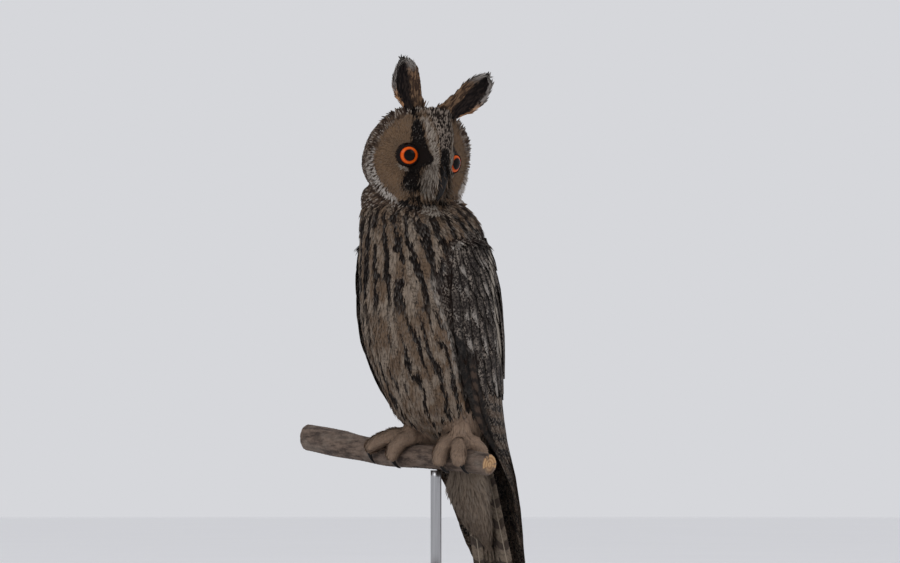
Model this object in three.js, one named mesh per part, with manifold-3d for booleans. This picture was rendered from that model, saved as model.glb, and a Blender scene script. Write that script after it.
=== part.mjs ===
// A life-size long-eared owl, perched upright on a short cut branch that a round base and one rod hold up.
// Millimetres, +Z up. The origin is the centre of the base's underside. The owl's body faces -Y, its left
// side is +X, and its head is turned to its left.
import * as THREE from "three";
import { mergeVertices } from "three/addons/utils/BufferGeometryUtils.js";
import Module from "manifold-3d";

const wasm = await Module();
wasm.setup();

// Driving sizes
const GAP = 0.3; // kept between touching pieces
const BASE_RADIUS = 88;
const BASE_HEIGHT = 12;
const ROD_RADIUS = 4;
const PERCH_TOP = 134; // height of the perch's upper side under the owl
const PERCH_RADIUS = 9;
const PERCH_SLOPE = THREE.MathUtils.degToRad(7); // down towards the owl's left
const PERCH_RIGHT_END = -128;
const PERCH_LEFT_END = 50;
const NECK_SPLIT = 150; // above the perch's top, where the torso ends and the neck begins
const HEAD_CENTRE = new THREE.Vector3(2.8, -27.6, 205); // from the perch's top
const HEAD_TURN = THREE.MathUtils.degToRad(75);
const HEAD_ROLL = THREE.MathUtils.degToRad(6);
const HEAD_PITCH = THREE.MathUtils.degToRad(8); // looking down
const DISC_HALF_WIDTH = 44;
const DISC_TOP = 43; // the facial disc, above and below the head's centre
const DISC_BOTTOM = 33;
const RIM_FORWARD = 6; // the facial disc's rim, ahead of the head's centre
const HEAD_BACK = 37; // the back of the head, behind its centre
const EYE_SIDE = 18; // eye centre from the face's middle line
const EYE_RADIUS = 10.5;
const EYE_FORWARD = 13.3; // eye centre, ahead of the head's centre
const EYE_UP = 6.3;
const TUFT_LENGTH = 41.5;
const TUFT_WIDTH = 30;
const TUFT_VANE_WIDTH = 9;
const LEG_SIDE = 22; // each foot from the middle
const TOE_RADIUS = 5;
const TAIL_TIP = -108;
const TAIL_HALF_WIDTH = 20;
const VANE_THICKNESS = 0.9;
const VANE_STEP = 1.5; // from one vane's face to the same face of the vane beside it
const LID_THICKNESS = 1.7;
const EYE_SPLAY = THREE.MathUtils.degToRad(18); // each eye looks this much outwards
const LID_OPENING = new THREE.Vector2(7.6, 7.1); // half width and half height

const FEATHER = { roughness: 0.9, metalness: 0 };
const material = (color, settings = FEATHER) => new THREE.MeshStandardMaterial({ color, ...settings });
const BREAST = material(0xa8937a);
const MANTLE = material(0x5a4c42);
const FACE = material(0x8f7a62);
const BUFF = material(0xb09a80);
const HORN = material(0x1c1918, { roughness: 0.35, metalness: 0 });
const IRIS = material(0xe8601c, { roughness: 0.08, metalness: 0 });
const BARK = material(0x6b5648);
const WOOD = material(0x3a2a20, { roughness: 0.45, metalness: 0 });
const STEEL = material(0x8c8c8c, { roughness: 0.3, metalness: 1 });

const vec = (x, y, z) => new THREE.Vector3(x, y, z);
const { lerp, smoothstep, clamp } = THREE.MathUtils;
const bump = (distance, width) => Math.exp(-((distance / width) ** 2));

// A smooth function through stations [[place, value], ...], level past its ends.
function through(stations) {
  const last = stations.length - 1;
  const slope = (i) => {
    if (i === 0 || i === last) return 0;
    const [before, after] = [stations[i - 1], stations[i + 1]];
    return (after[1] - before[1]) / (after[0] - before[0]);
  };
  return (place) => {
    if (place <= stations[0][0]) return stations[0][1];
    if (place >= stations[last][0]) return stations[last][1];
    const i = stations.findIndex((s) => s[0] > place) - 1;
    const [[a, va], [b, vb]] = [stations[i], stations[i + 1]];
    const t = (place - a) / (b - a);
    const [ma, mb] = [slope(i) * (b - a), slope(i + 1) * (b - a)];
    const [t2, t3] = [t * t, t * t * t];
    return (2 * t3 - 3 * t2 + 1) * va + (t3 - 2 * t2 + t) * ma + (3 * t2 - 2 * t3) * vb + (t3 - t2) * mb;
  };
}

// A closed body through rings of points, each ring with as many points, closed at both ends by a middle point.
// A quad is split along its other diagonal where turned(j) is true, so that a thin plate's two faces split alike.
function loft(rings, turned = () => false) {
  const count = rings[0].length;
  const middle = (ring) => ring.reduce((sum, p) => sum.add(p), vec(0, 0, 0)).divideScalar(count);
  const points = [...rings.flat(), middle(rings[0]), middle(rings[rings.length - 1])];
  const [first, last] = [points.length - 2, points.length - 1];
  const index = [];
  for (let j = 0; j < count; j++) {
    const next = (j + 1) % count;
    index.push(first, next, j);
    for (let i = 0; i < rings.length - 1; i++) {
      const [a, b] = [i * count + j, i * count + next];
      if (turned(j)) index.push(a, b, a + count, b, b + count, a + count);
      else index.push(a, b, b + count, a, b + count, a + count);
    }
    const top = (rings.length - 1) * count;
    index.push(last, top + j, top + next);
  }
  const geometry = new THREE.BufferGeometry().setFromPoints(points);
  return geometry.setIndex(index);
}

// A three.js geometry as a solid that can be joined and cut, turned the right way round.
function solid(geometry) {
  const bare = geometry.clone();
  bare.deleteAttribute("normal");
  bare.deleteAttribute("uv");
  const merged = mergeVertices(bare, 1e-4);
  const make = (triVerts) =>
    new wasm.Manifold(new wasm.Mesh({ numProp: 3, vertProperties: merged.attributes.position.array, triVerts }));
  const made = make(new Uint32Array(merged.index.array));
  if (made.volume() > 0) return made;
  return make(new Uint32Array(merged.index.array).reverse());
}

// The largest closed surface of a solid, as a named mesh.
function node(name, shape, look) {
  const size = (body) => body.volume();
  const largest = shape.decompose().sort((a, b) => size(b) - size(a))[0];
  const { numProp, vertProperties, triVerts } = largest.getMesh();
  const points = [];
  for (let i = 0; i < vertProperties.length; i += numProp) points.push(...vertProperties.subarray(i, i + 3));
  const geometry = new THREE.BufferGeometry();
  geometry.setAttribute("position", new THREE.Float32BufferAttribute(points, 3));
  geometry.setIndex([...triVerts]);
  geometry.computeVertexNormals();
  const mesh = new THREE.Mesh(geometry, look);
  mesh.name = name;
  return mesh;
}

const moved = (geometry, matrix) => geometry.clone().applyMatrix4(matrix);

// A tube along points, its radius a function of the share of the way along.
function tube(path, radius, sides = 10, steps = 10) {
  const curve = new THREE.CatmullRomCurve3(path);
  const frames = curve.computeFrenetFrames(steps, false);
  const rings = [];
  for (let i = 0; i <= steps; i++) {
    const centre = curve.getPointAt(i / steps);
    const r = radius(i / steps);
    const ring = [];
    for (let j = 0; j < sides; j++) {
      const a = (j / sides) * 2 * Math.PI;
      const across = frames.normals[i].clone().multiplyScalar(r * Math.cos(a));
      ring.push(centre.clone().add(across).addScaledVector(frames.binormals[i], r * Math.sin(a)));
    }
    rings.push(ring);
  }
  return loft(rings);
}

// A feather's vane: a thin plate from a sunk root to a rounded tip. place(t, aside, out) gives the point at share t
// of its length, `aside` millimetres from its middle line and `out` millimetres off its middle surface.
const VANE_STATIONS = [[0, 0.75], [0.5, 1], [0.88, 0.8], [1, 0.25]];
function vane(width, place) {
  const rings = VANE_STATIONS.map(([t, share]) => {
    const half = (share * width) / 2;
    const deep = (VANE_THICKNESS * lerp(1, 0.7, t)) / 2;
    return [place(t, -half, -deep), place(t, half, -deep), place(t, half, deep), place(t, -half, deep)];
  });
  return solid(loft(rings, (j) => j === 2));
}

const joined = (shapes) => shapes.reduce((all, one) => all.add(one));

// Torso and neck: one round feathered body. Heights are from the perch's top.
const bodyMiddle = through([
  [-78, 60.5], [-60, 50.5], [-45, 42.5], [-30, 37.5], [-10, 36], [4, 27], [23, 12.5], [41, 4], [78, -7.5], [124, -14],
  [161, -18], [186, -26], [200, -28],
]);
// The nape follows the turned head, so the neck leans to the owl's right.
const bodyShift = through([[150, 0], [161, -0.5], [173, -1.5], [186, -4], [200, -5]]);
const bodyRadius = through([
  [-78, 2.5], [-60, 10.5], [-45, 14.5], [-30, 17.5], [-10, 17], [4, 25.5], [23, 38], [41, 43.5], [78, 50], [124, 49.5],
  [161, 46.5], [173, 43.5], [186, 38], [200, 26],
]);
const BODY_BOTTOM = -78;
const BODY_TOP = 200;
const BODY_SIDES = 30;
const BODY_RINGS = 20;

// Under the face the throat is drawn in, most towards the way the head looks.
const throatDepth = through([[155, 0], [168, 0.12], [176, 0.23], [186, 0.3], [200, 0.3]]);
const throatWidth = (away) => (away < 0 ? 1.3 : 0.7);

// A point of the body at a height, at an angle from its front towards its left, standing out by `out`.
function bodyPoint(height, angle, out) {
  const away = Math.atan2(Math.sin(angle - HEAD_TURN), Math.cos(angle - HEAD_TURN));
  const r = bodyRadius(height) * (1 - throatDepth(height) * bump(away, throatWidth(away))) + out;
  return vec(bodyShift(height) + 1.02 * r * Math.sin(angle), bodyMiddle(height) - 0.98 * r * Math.cos(angle), height);
}

function body(out) {
  const rings = [];
  for (let i = 0; i <= BODY_RINGS; i++) {
    const height = lerp(BODY_BOTTOM - out, BODY_TOP + out, i / BODY_RINGS);
    const ring = [];
    for (let j = 0; j < BODY_SIDES; j++) ring.push(bodyPoint(height, (j / BODY_SIDES) * 2 * Math.PI, out));
    rings.push(ring);
  }
  return solid(loft(rings));
}

// The half of space on one side of the owl's middle, drawn back by half the gap.
const half = (side) => solid(new THREE.BoxGeometry(200, 400, 600).translate(side * (100 + GAP / 2), 0, 0));
const slab = (low, high) => {
  const box = new THREE.BoxGeometry(400, 400, high - low);
  return solid(box.translate(0, 0, (low + high) / 2));
};

// Head: a polar grid about the line of sight, with the facial disc in front and the round skull behind.
// Head coordinates: x to the head's left, f forward, z up.
const HEAD_SIDES = 36;
const DISC_RINGS = 12;
const SKULL_RINGS = 6;
const CENTRE_RING = 0.2; // the first ring, close round the middle of the face

function distanceToLine(x, z, from, to) {
  const [dx, dz] = [to[0] - from[0], to[1] - from[1]];
  const t = clamp(((x - from[0]) * dx + (z - from[1]) * dz) / (dx * dx + dz * dz), 0, 1);
  return Math.hypot(x - from[0] - t * dx, z - from[1] - t * dz);
}

const discHeight = (z) => (z > 0 ? DISC_TOP : DISC_BOTTOM);

// How far the face stands ahead of the head's centre. Its lower half is upright, down to the chin.
function faceForward(x, z) {
  const side = Math.abs(x);
  const [wide, high] = [side / DISC_HALF_WIDTH, z / discHeight(z)];
  const t = Math.min(1, Math.hypot(wide, high));
  const dome = RIM_FORWARD + 14 * (1 - wide * wide - high * high * (z > 0 ? 1 : 0.1));
  const chin = 9 * smoothstep(-z, 4, 26) * bump(x, 15);
  const wedgeWidth = lerp(8.5, 15, smoothstep(z, -8, 36));
  const wedgeHeight = 20 * smoothstep(z, -27, -2) * lerp(1, 0.85, smoothstep(z, 20, 42));
  const wedge = wedgeHeight * bump(x * x, wedgeWidth * wedgeWidth);
  const brow = 4 * bump(distanceToLine(side, z, [5, -12], [22, 36]), 4.5);
  const eyeDistance = Math.hypot(side - EYE_SIDE, z - EYE_UP);
  const lid = 2.5 * bump(eyeDistance - 9.5, 3);
  const dish = -1.5 * bump(Math.hypot(side - 33, z + 6), 9);
  const rim = 2.2 * bump(t - 0.97, 0.06);
  const bristles = 5 * bump(Math.hypot(side - 8, z + 17), 6);
  return dome + chin + wedge + brow + lid + dish + rim + bristles;
}

// The head's outline is fuller than an ellipse at its four corners; the angle is from straight up.
function outline(angle) {
  const up = Math.abs(Math.atan2(Math.sin(angle), Math.cos(angle)));
  return 1 + 0.1 * bump(up - 0.85, 0.4) + 0.05 * bump(up - 2.4, 0.5);
}

function headGrid(out) {
  const rings = [];
  const ring = (place) => {
    const points = [];
    for (let j = 0; j < HEAD_SIDES; j++) points.push(place((j / HEAD_SIDES) * 2 * Math.PI));
    return points;
  };
  for (let i = 0; i <= DISC_RINGS; i++) {
    const t = Math.max(i, CENTRE_RING) / DISC_RINGS;
    rings.push(
      ring((a) => {
        const [x, z] = [t * DISC_HALF_WIDTH * Math.sin(a), t * discHeight(Math.cos(a)) * Math.cos(a)];
        const wide = lerp(1, outline(a), t * t) + (out / DISC_HALF_WIDTH) * t;
        return vec(x * wide, -faceForward(x, z) - out, z * wide);
      }),
    );
  }
  for (let i = 1; i <= SKULL_RINGS; i++) {
    const turn = (i / (SKULL_RINGS + 0.4)) * (Math.PI / 2);
    rings.push(
      ring((a) => {
        const share = Math.cos(turn) ** 0.72 * (1 - 0.05 * smoothstep(i, 0, 2));
        const [x, z] = [DISC_HALF_WIDTH * Math.sin(a) * share, discHeight(Math.cos(a)) * Math.cos(a) * share];
        const wide = lerp(outline(a), 1, i / SKULL_RINGS) + out / DISC_HALF_WIDTH;
        const forward = lerp(faceForward(x / share, z / share), RIM_FORWARD, i / SKULL_RINGS);
        return vec(x * wide, -forward + (forward + HEAD_BACK) * Math.sin(turn) + out, z * wide);
      }),
    );
  }
  return loft(rings);
}

const headPlace = new THREE.Matrix4()
  .makeTranslation(HEAD_CENTRE)
  .multiply(new THREE.Matrix4().makeRotationZ(HEAD_TURN))
  .multiply(new THREE.Matrix4().makeRotationY(HEAD_ROLL))
  .multiply(new THREE.Matrix4().makeRotationX(HEAD_PITCH));

// The eye's line of sight in head coordinates.
const eyeAxis = (side) => vec(side * Math.sin(EYE_SPLAY), -Math.cos(EYE_SPLAY), 0);
const eyeCentre = (side) => vec(side * EYE_SIDE, -EYE_FORWARD, EYE_UP);
const ball = (centre, radius, wide = 16, high = 10) =>
  new THREE.SphereGeometry(radius, wide, high).translate(centre.x, centre.y, centre.z);

// The lids: a shell over the eye, open in front.
const lidShell = (side) => ball(eyeCentre(side), EYE_RADIUS + LID_THICKNESS, 14, 10);
function lidOpening(side) {
  const length = EYE_RADIUS + 6;
  const opening = new THREE.CylinderGeometry(1.06, 0.94, length, 20).translate(0, length / 2, 0);
  opening.scale(LID_OPENING.x, 1, LID_OPENING.y);
  const turn = new THREE.Quaternion().setFromUnitVectors(vec(0, 1, 0), eyeAxis(side));
  const place = new THREE.Matrix4().compose(eyeCentre(side), turn, vec(1, 1, 1));
  return opening.applyMatrix4(place);
}

// Upper bill: a hooked, narrow beak that leaves the face between the eyes and bends down.
const billSpine = new THREE.CatmullRomCurve3([vec(0, -32, 2), vec(0, -37, -5), vec(0, -39.5, -14), vec(0, -37, -23.5)]);
function billRings(out, curve, wide, deep, steps) {
  const rings = [];
  for (let i = 0; i <= steps; i++) {
    const t = i / steps;
    const centre = curve.getPointAt(t);
    const along = curve.getTangentAt(t);
    const outward = vec(0, -along.z, along.y).normalize();
    if (outward.y > 0) outward.negate();
    const ring = [];
    for (let j = 0; j < 8; j++) {
      const a = (j / 8) * 2 * Math.PI;
      const point = centre.clone().add(vec((wide(t) + out) * Math.sin(a), 0, 0));
      ring.push(point.addScaledVector(outward, (deep(t) + out) * Math.cos(a)));
    }
    rings.push(ring);
  }
  return loft(rings);
}
const upperBill = (out) =>
  billRings(out, billSpine, (t) => lerp(5.2, 0.7, t ** 1.6), (t) => lerp(5.5, 0.8, t ** 1.4), 9);
const lowerSpine = new THREE.CatmullRomCurve3([vec(0, -26, -14), vec(0, -32, -17.5), vec(0, -34.5, -21.5)]);
const lowerBill = (out) =>
  billRings(out, lowerSpine, (t) => lerp(4.2, 1, t ** 1.6), (t) => lerp(3, 0.8, t), 6);

const nostril = (side) => ball(vec(side * 3.6, -38.5, -6), 1.3, 6, 4);

// Ear tufts: vanes side by side in a cup that opens forwards, on a low mound.
const TUFT_VANES = 5;
function tuft(side) {
  const root = vec(side * 18, -8, 36);
  const along = vec(side * 20.5, -9, TUFT_LENGTH);
  const mound = root.clone().addScaledVector(along, 0.1);
  const shapes = [solid(new THREE.SphereGeometry(1, 12, 6).scale(12.5, 3.6, 8).translate(mound.x, mound.y, mound.z))];
  for (let i = 0; i < TUFT_VANES; i++) {
    const u = (2 * i) / (TUFT_VANES - 1) - 1;
    const long = 1 - 0.3 * u * u;
    shapes.push(
      vane(TUFT_VANE_WIDTH, (t, aside, out) => {
        const spread = lerp(0.28, 0.36, t) * TUFT_WIDTH;
        const slope = VANE_STEP / ((2 * spread) / (TUFT_VANES - 1));
        const centre = root.clone().addScaledVector(along, t * long);
        return centre.add(vec(u * spread + aside, -4 * u * u * smoothstep(t, 0, 0.5) + slope * aside + out, 0));
      }),
    );
  }
  return joined(shapes);
}

// Tail: heights and depths along its plane. The middle feather lies on top, behind, and the others step down from it.
const TAIL_PAIRS = 5;
const TAIL_ROOT = 2;
const TAIL_CORE_END = -40;
const TAIL_VANE_WIDTH = 13;
const tailBack = (height) => 42 + 0.26 * (20 - height);
const tailDepth = (pair) => VANE_STEP * (TAIL_PAIRS / 2 - pair);

function tailBlock(top, bottom, half, thick, out) {
  const rings = [];
  for (let i = 0; i <= 3; i++) {
    const height = lerp(top, bottom, i / 3);
    const [x, y, d] = [half(height) + out, tailBack(height), thick + out];
    rings.push([vec(-x, y - d, height), vec(x, y - d, height), vec(x, y + d, height), vec(-x, y + d, height)]);
  }
  return solid(loft(rings));
}
const tailRoom = tailBlock(18, TAIL_TIP, () => TAIL_HALF_WIDTH, (TAIL_PAIRS * VANE_STEP) / 2 + VANE_THICKNESS, GAP);

function tailVane(side, pair) {
  const tip = TAIL_TIP + 1.4 * pair;
  const atTip = pair === 0 ? 0 : lerp(6.5, TAIL_HALF_WIDTH - TAIL_VANE_WIDTH / 2, (pair - 1) / (TAIL_PAIRS - 1));
  const atRoot = pair === 0 ? 0 : lerp(3, 8, (pair - 1) / (TAIL_PAIRS - 1));
  return vane(TAIL_VANE_WIDTH, (t, aside, out) => {
    const height = lerp(TAIL_ROOT, tip, t);
    return vec(side * (lerp(atRoot, atTip, t) + aside), tailBack(height) + tailDepth(pair) + out, height);
  });
}

function tailShape() {
  const shapes = [tailBlock(18, TAIL_CORE_END, (height) => lerp(12, 9, smoothstep(-height, 10, 40)), 3.6, 0)];
  shapes.push(tailVane(1, 0));
  for (let pair = 1; pair <= TAIL_PAIRS; pair++) shapes.push(tailVane(1, pair), tailVane(-1, pair));
  return joined(shapes);
}

// Wings: a sheet that wraps the body's side and runs on past it to the tail's back.
const wingMiddle = through([[-112, 71], [-60, 58.5], [-30, 49.5], [0, 31], [23, 13], [41, 4], [78, -7.5], [124, -14], [161, -18]]);
const wingWide = through([[-112, 26], [-60, 29], [-30, 30], [0, 33], [23, 39.3], [41, 44.4], [78, 51], [124, 50.5], [161, 47]]);
const wingDeep = through([[-112, 13], [-60, 14], [-30, 18], [0, 27], [23, 37.8], [41, 42.7], [78, 49], [124, 48.5], [161, 45]]);
const wingFront = through([[-112, 118], [-60, 110], [-30, 95], [0, 79], [30, 69], [78, 65], [150, 66]]);
const wingRear = through([[-112, 158], [-60, 168], [0, 176], [78, 177.6], [110, 172], [150, 150]]);

function wingPoint(side, height, angle, out) {
  const [a, b] = [wingWide(height) + out, wingDeep(height) + out];
  const turn = THREE.MathUtils.degToRad(angle);
  return vec(side * a * Math.sin(turn), wingMiddle(height) - b * Math.cos(turn), height);
}

// The wing's core, under the small feathers of its upper half.
const WING_TOP = 150;
const WING_CORE_END = 34;
function wingCore(side) {
  const [inner, outer, steps, across] = [-1, 3.8, 7, 5];
  const rings = [];
  for (let i = 0; i <= steps; i++) {
    const height = lerp(WING_TOP, WING_CORE_END, i / steps);
    const thick = outer * smoothstep(height, WING_CORE_END - 14, 60) * lerp(1, 0.5, smoothstep(height, 130, WING_TOP));
    const ring = [];
    for (let j = 0; j <= across; j++) {
      const angle = lerp(wingFront(height), wingRear(height), j / across);
      ring.push(wingPoint(side, height, angle, inner));
    }
    for (let j = across; j >= 0; j--) {
      const angle = lerp(wingFront(height), wingRear(height), j / across);
      const round = 0.4 + 0.6 * Math.sin((j / across) * Math.PI) ** 0.5;
      ring.push(wingPoint(side, height, angle, thick * round));
    }
    rings.push(ring);
  }
  return solid(loft(rings, (j) => j > across));
}

// The wing's feathers in tiers. across counts from the wing's front edge to its back edge; root and tip are heights,
// each at the tier's front and back; lift is how far the vane stands off at its root, middle and tip.
const WING_TIERS = [
  { count: 5, across: [0.12, 0.88], root: [48, 52], tip: [-84, -98], longer: 18, width: 12, lift: [1.6, 0.6, 0.6] },
  { count: 6, across: [0.07, 0.92], root: [62, 66], tip: [-26, 8], longer: 0, width: 15, lift: [2, 3.6, 4.6] },
  { count: 5, across: [0.09, 0.68], root: [97, 101], tip: [47, 57], longer: 0, width: 17, lift: [2, 3.9, 5.4] },
  { count: 4, across: [0.12, 0.6], root: [124, 128], tip: [84, 92], longer: 0, width: 18, lift: [2, 3.7, 4.8] },
  { count: 3, across: [0.7, 0.95], root: [132, 138], tip: [84, 64], longer: 0, width: 19, lift: [2, 4.6, 6.4] },
];

function wingArc(height) {
  const radius = Math.sqrt(wingWide(height) * wingDeep(height));
  return { radius, length: THREE.MathUtils.degToRad(wingRear(height) - wingFront(height)) * radius };
}

// Each vane's front edge lies over the back edge of the vane before it.
function wingVane(side, tier, i) {
  const s = i / (tier.count - 1);
  const share = lerp(tier.across[0], tier.across[1], s);
  const apart = (tier.across[1] - tier.across[0]) / (tier.count - 1);
  const root = lerp(tier.root[0], tier.root[1], s);
  const tip = lerp(tier.tip[0], tier.tip[1], s) - tier.longer * Math.sin(Math.PI * s);
  const lift = through(tier.lift.map((value, k) => [k / 2, value * lerp(0.6, 1, smoothstep(share, 0, 0.35))]));
  return vane(tier.width, (t, aside, out) => {
    const height = lerp(root, tip, t);
    const { radius, length } = wingArc(height);
    const slope = Math.min(0.4, VANE_STEP / (apart * length));
    const angle = lerp(wingFront(height), wingRear(height), share) + THREE.MathUtils.radToDeg(aside / radius);
    return wingPoint(side, height, angle, lift(t) - slope * aside + out);
  });
}

function wing(side) {
  const shapes = [wingCore(side)];
  for (const tier of WING_TIERS) for (let i = 0; i < tier.count; i++) shapes.push(wingVane(side, tier, i));
  return joined(shapes);
}

// Perch: a cut length of branch with slow bends.
const perchCentre = (x) =>
  vec(x, 1.6 * Math.sin(x / 34), -PERCH_RADIUS - Math.tan(PERCH_SLOPE) * x + 1.4 * Math.sin(x / 27 + 0.5) - 0.7);
const perchRadius = (x) => PERCH_RADIUS - 0.011 * x + 0.35 * Math.sin(x / 9);
function perch(out) {
  const rings = [];
  const steps = 18;
  for (let i = 0; i <= steps; i++) {
    const x = lerp(PERCH_RIGHT_END - out, PERCH_LEFT_END + out, i / steps);
    const ring = [];
    for (let j = 0; j < 12; j++) {
      const a = (j / 12) * 2 * Math.PI;
      const r = perchRadius(x) * (1 + 0.03 * Math.sin(3 * a + x / 15)) + out;
      ring.push(perchCentre(x).add(vec(r * Math.sin(PERCH_SLOPE) * Math.cos(a), r * Math.sin(a), r * Math.cos(a))));
    }
    rings.push(ring);
  }
  return solid(loft(rings));
}

// A toe and its claw wrap the perch: turn is the angle round it from its top, forward when negative.
function wrapPath(x, splay, from, to, lift, steps) {
  const path = [];
  for (let i = 0; i <= steps; i++) {
    const t = i / steps;
    const turn = THREE.MathUtils.degToRad(lerp(from, to, t));
    const at = x + splay * t;
    const r = perchRadius(at) + lift(t);
    path.push(perchCentre(at).add(vec(0, r * Math.sin(turn), r * Math.cos(turn))));
  }
  return path;
}

// Across the perch, x and splay count away from the owl's middle.
const TOES = {
  left: [
    { x: -4, splay: -3, from: -6, to: -104 },
    { x: 4, splay: 8, from: -4, to: -94 },
    { x: -3, splay: -1, from: 6, to: 92 },
    { x: 4, splay: 6, from: 4, to: 82 },
  ],
  right: [
    { x: -3, splay: 11, from: -6, to: -100 },
    { x: 3, splay: 27, from: -4, to: -82 },
    { x: -3, splay: -1, from: 6, to: 92 },
    { x: 4, splay: 8, from: 4, to: 82 },
  ],
};
function toe(side, part, out) {
  const [x, splay] = [side * (LEG_SIDE + part.x), side * part.splay];
  const radius = (t) => lerp(TOE_RADIUS, 4, t) * (1 - 0.35 * smoothstep(t, 0.9, 1)) + out;
  const path = wrapPath(x, splay, part.from, part.to, () => TOE_RADIUS + 0.5, 6);
  return solid(tube(path, radius, 8, 6));
}
function claw(side, part) {
  const x = side * (LEG_SIDE + part.x + part.splay);
  const way = Math.sign(part.to);
  const lift = (t) => lerp(TOE_RADIUS - 0.4, 1.3, t);
  const path = wrapPath(x, 0, part.to + way * 2, part.to + way * 62, lift, 6);
  return solid(tube(path, (t) => lerp(2, 0.45, t), 6, 5));
}

// The middle of the foot, over the perch.
function footTop(side) {
  const below = perchCentre(side * LEG_SIDE);
  return below.setZ(below.z + perchRadius(side * LEG_SIDE) + TOE_RADIUS);
}
const footPad = (side) => {
  const at = footTop(side);
  return solid(new THREE.SphereGeometry(1, 12, 8).scale(9, 8, 6).translate(at.x, at.y, at.z));
};

function leg(side, out) {
  const foot = footTop(side);
  const path = [vec(side * 20, 8, 44), vec(side * 21, 4, 28), vec(side * 22, 2, 16), foot.add(vec(0, 0, 2))];
  return solid(tube(path, (t) => lerp(19, 8.6, smoothstep(t, 0, 0.8)) + out, 12, 7));
}

// The stand
function base() {
  const bevel = 2;
  const profile = [
    new THREE.Vector2(0, 0),
    new THREE.Vector2(BASE_RADIUS - bevel, 0),
    new THREE.Vector2(BASE_RADIUS, bevel),
    new THREE.Vector2(BASE_RADIUS, BASE_HEIGHT - 2 * bevel),
    new THREE.Vector2(BASE_RADIUS - bevel, BASE_HEIGHT),
    new THREE.Vector2(0, BASE_HEIGHT),
  ];
  return solid(new THREE.LatheGeometry(profile, 40).rotateX(Math.PI / 2));
}

const owl = new THREE.Group();
const birdUp = new THREE.Group();
birdUp.position.z = PERCH_TOP;

const whole = body(0);
const wholeGrown = body(GAP);
const headPoints = moved(headGrid(0), headPlace);
const headGrown = solid(moved(headGrid(GAP), headPlace));
const inHead = (geometry) => solid(moved(geometry, headPlace));
const perchGrown = perch(GAP);

const torso = whole.subtract(slab(NECK_SPLIT, 300)).subtract(perchGrown);
const neck = whole
  .subtract(slab(-100, NECK_SPLIT + GAP))
  .subtract(headGrown)
  .subtract(inHead(lowerBill(GAP)))
  .subtract(inHead(upperBill(GAP)));
let head = solid(headPoints);
for (const side of [-1, 1]) {
  head = head.add(inHead(lidShell(side))).subtract(inHead(ball(eyeCentre(side), EYE_RADIUS + GAP)));
  head = head.subtract(inHead(lidOpening(side)));
}
head = head.subtract(inHead(upperBill(GAP))).subtract(inHead(lowerBill(GAP)));
birdUp.add(node("torso", torso, BREAST), node("neck", neck, BREAST), node("head", head, FACE));
const billUpper = inHead(upperBill(0)).subtract(inHead(nostril(1))).subtract(inHead(nostril(-1)));
birdUp.add(node("bill_upper", billUpper, HORN));
birdUp.add(node("bill_lower", inHead(lowerBill(0)).subtract(inHead(upperBill(GAP))), HORN));
birdUp.add(node("tail", tailShape().subtract(wholeGrown), MANTLE));
birdUp.add(node("perch", perch(0), BARK));

for (const [side, name] of [[1, "left"], [-1, "right"]]) {
  birdUp.add(node("eye_" + name, inHead(ball(eyeCentre(side), EYE_RADIUS)), IRIS));
  const tuftUp = tuft(side).transform(headPlace.elements).subtract(headGrown);
  birdUp.add(node("tuft_" + name, tuftUp, MANTLE));
  birdUp.add(node("wing_" + name, wing(side).subtract(wholeGrown).subtract(tailRoom).intersect(half(side)), MANTLE));
  const legShape = leg(side, 0).subtract(wholeGrown).subtract(perchGrown);
  birdUp.add(node("leg_" + name, legShape, BUFF));
  let foot = joined([footPad(side), ...TOES[name].map((part) => toe(side, part, 0))]);
  foot = foot.subtract(perchGrown).subtract(leg(side, GAP)).subtract(wholeGrown);
  birdUp.add(node("foot_" + name, foot, BUFF));
  TOES[name].forEach((part, i) => {
    const shape = claw(side, part).subtract(toe(side, part, GAP)).subtract(perchGrown);
    birdUp.add(node("claw_" + name + "_" + (i + 1), shape, HORN));
  });
}
owl.add(birdUp);

owl.add(node("stand_base", base(), WOOD));
const rodTop = PERCH_TOP;
const rodShape = solid(
  new THREE.CylinderGeometry(ROD_RADIUS, ROD_RADIUS, rodTop - BASE_HEIGHT, 20)
    .rotateX(Math.PI / 2)
    .translate(0, 0, (rodTop + BASE_HEIGHT) / 2 + GAP),
);
owl.add(node("stand_rod", rodShape.subtract(perchGrown.translate([0, 0, PERCH_TOP])), STEEL));

export default owl;
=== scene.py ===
# %% [markdown]
# # A long-eared owl on a cut branch
# The owl is a still, life-size museum model. Its solids give the place and size of every part, and this script
# dresses them: a smooth skin, some sixty thousand feathers over it, glossy eyes, a horn bill and claws, bark, and a
# plain stand. Everything is in metres, in the frame of the solids, with +Z up and the owl's body facing -Y.

# %% Load the solids
import math

import bmesh
import bpy
import numpy as np
from mathutils import Matrix, Vector


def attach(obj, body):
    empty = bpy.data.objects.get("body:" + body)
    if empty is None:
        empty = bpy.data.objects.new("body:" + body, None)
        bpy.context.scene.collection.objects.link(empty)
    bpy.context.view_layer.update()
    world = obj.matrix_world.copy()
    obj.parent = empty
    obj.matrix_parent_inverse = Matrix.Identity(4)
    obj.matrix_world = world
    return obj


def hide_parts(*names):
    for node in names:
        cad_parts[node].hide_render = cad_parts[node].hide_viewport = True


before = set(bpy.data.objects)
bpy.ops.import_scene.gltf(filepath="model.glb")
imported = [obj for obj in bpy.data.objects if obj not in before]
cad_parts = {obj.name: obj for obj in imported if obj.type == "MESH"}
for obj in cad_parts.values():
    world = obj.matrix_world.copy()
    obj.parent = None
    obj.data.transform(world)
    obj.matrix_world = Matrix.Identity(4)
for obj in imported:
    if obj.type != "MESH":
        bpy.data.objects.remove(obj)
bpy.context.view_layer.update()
MM = 0.001

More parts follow.
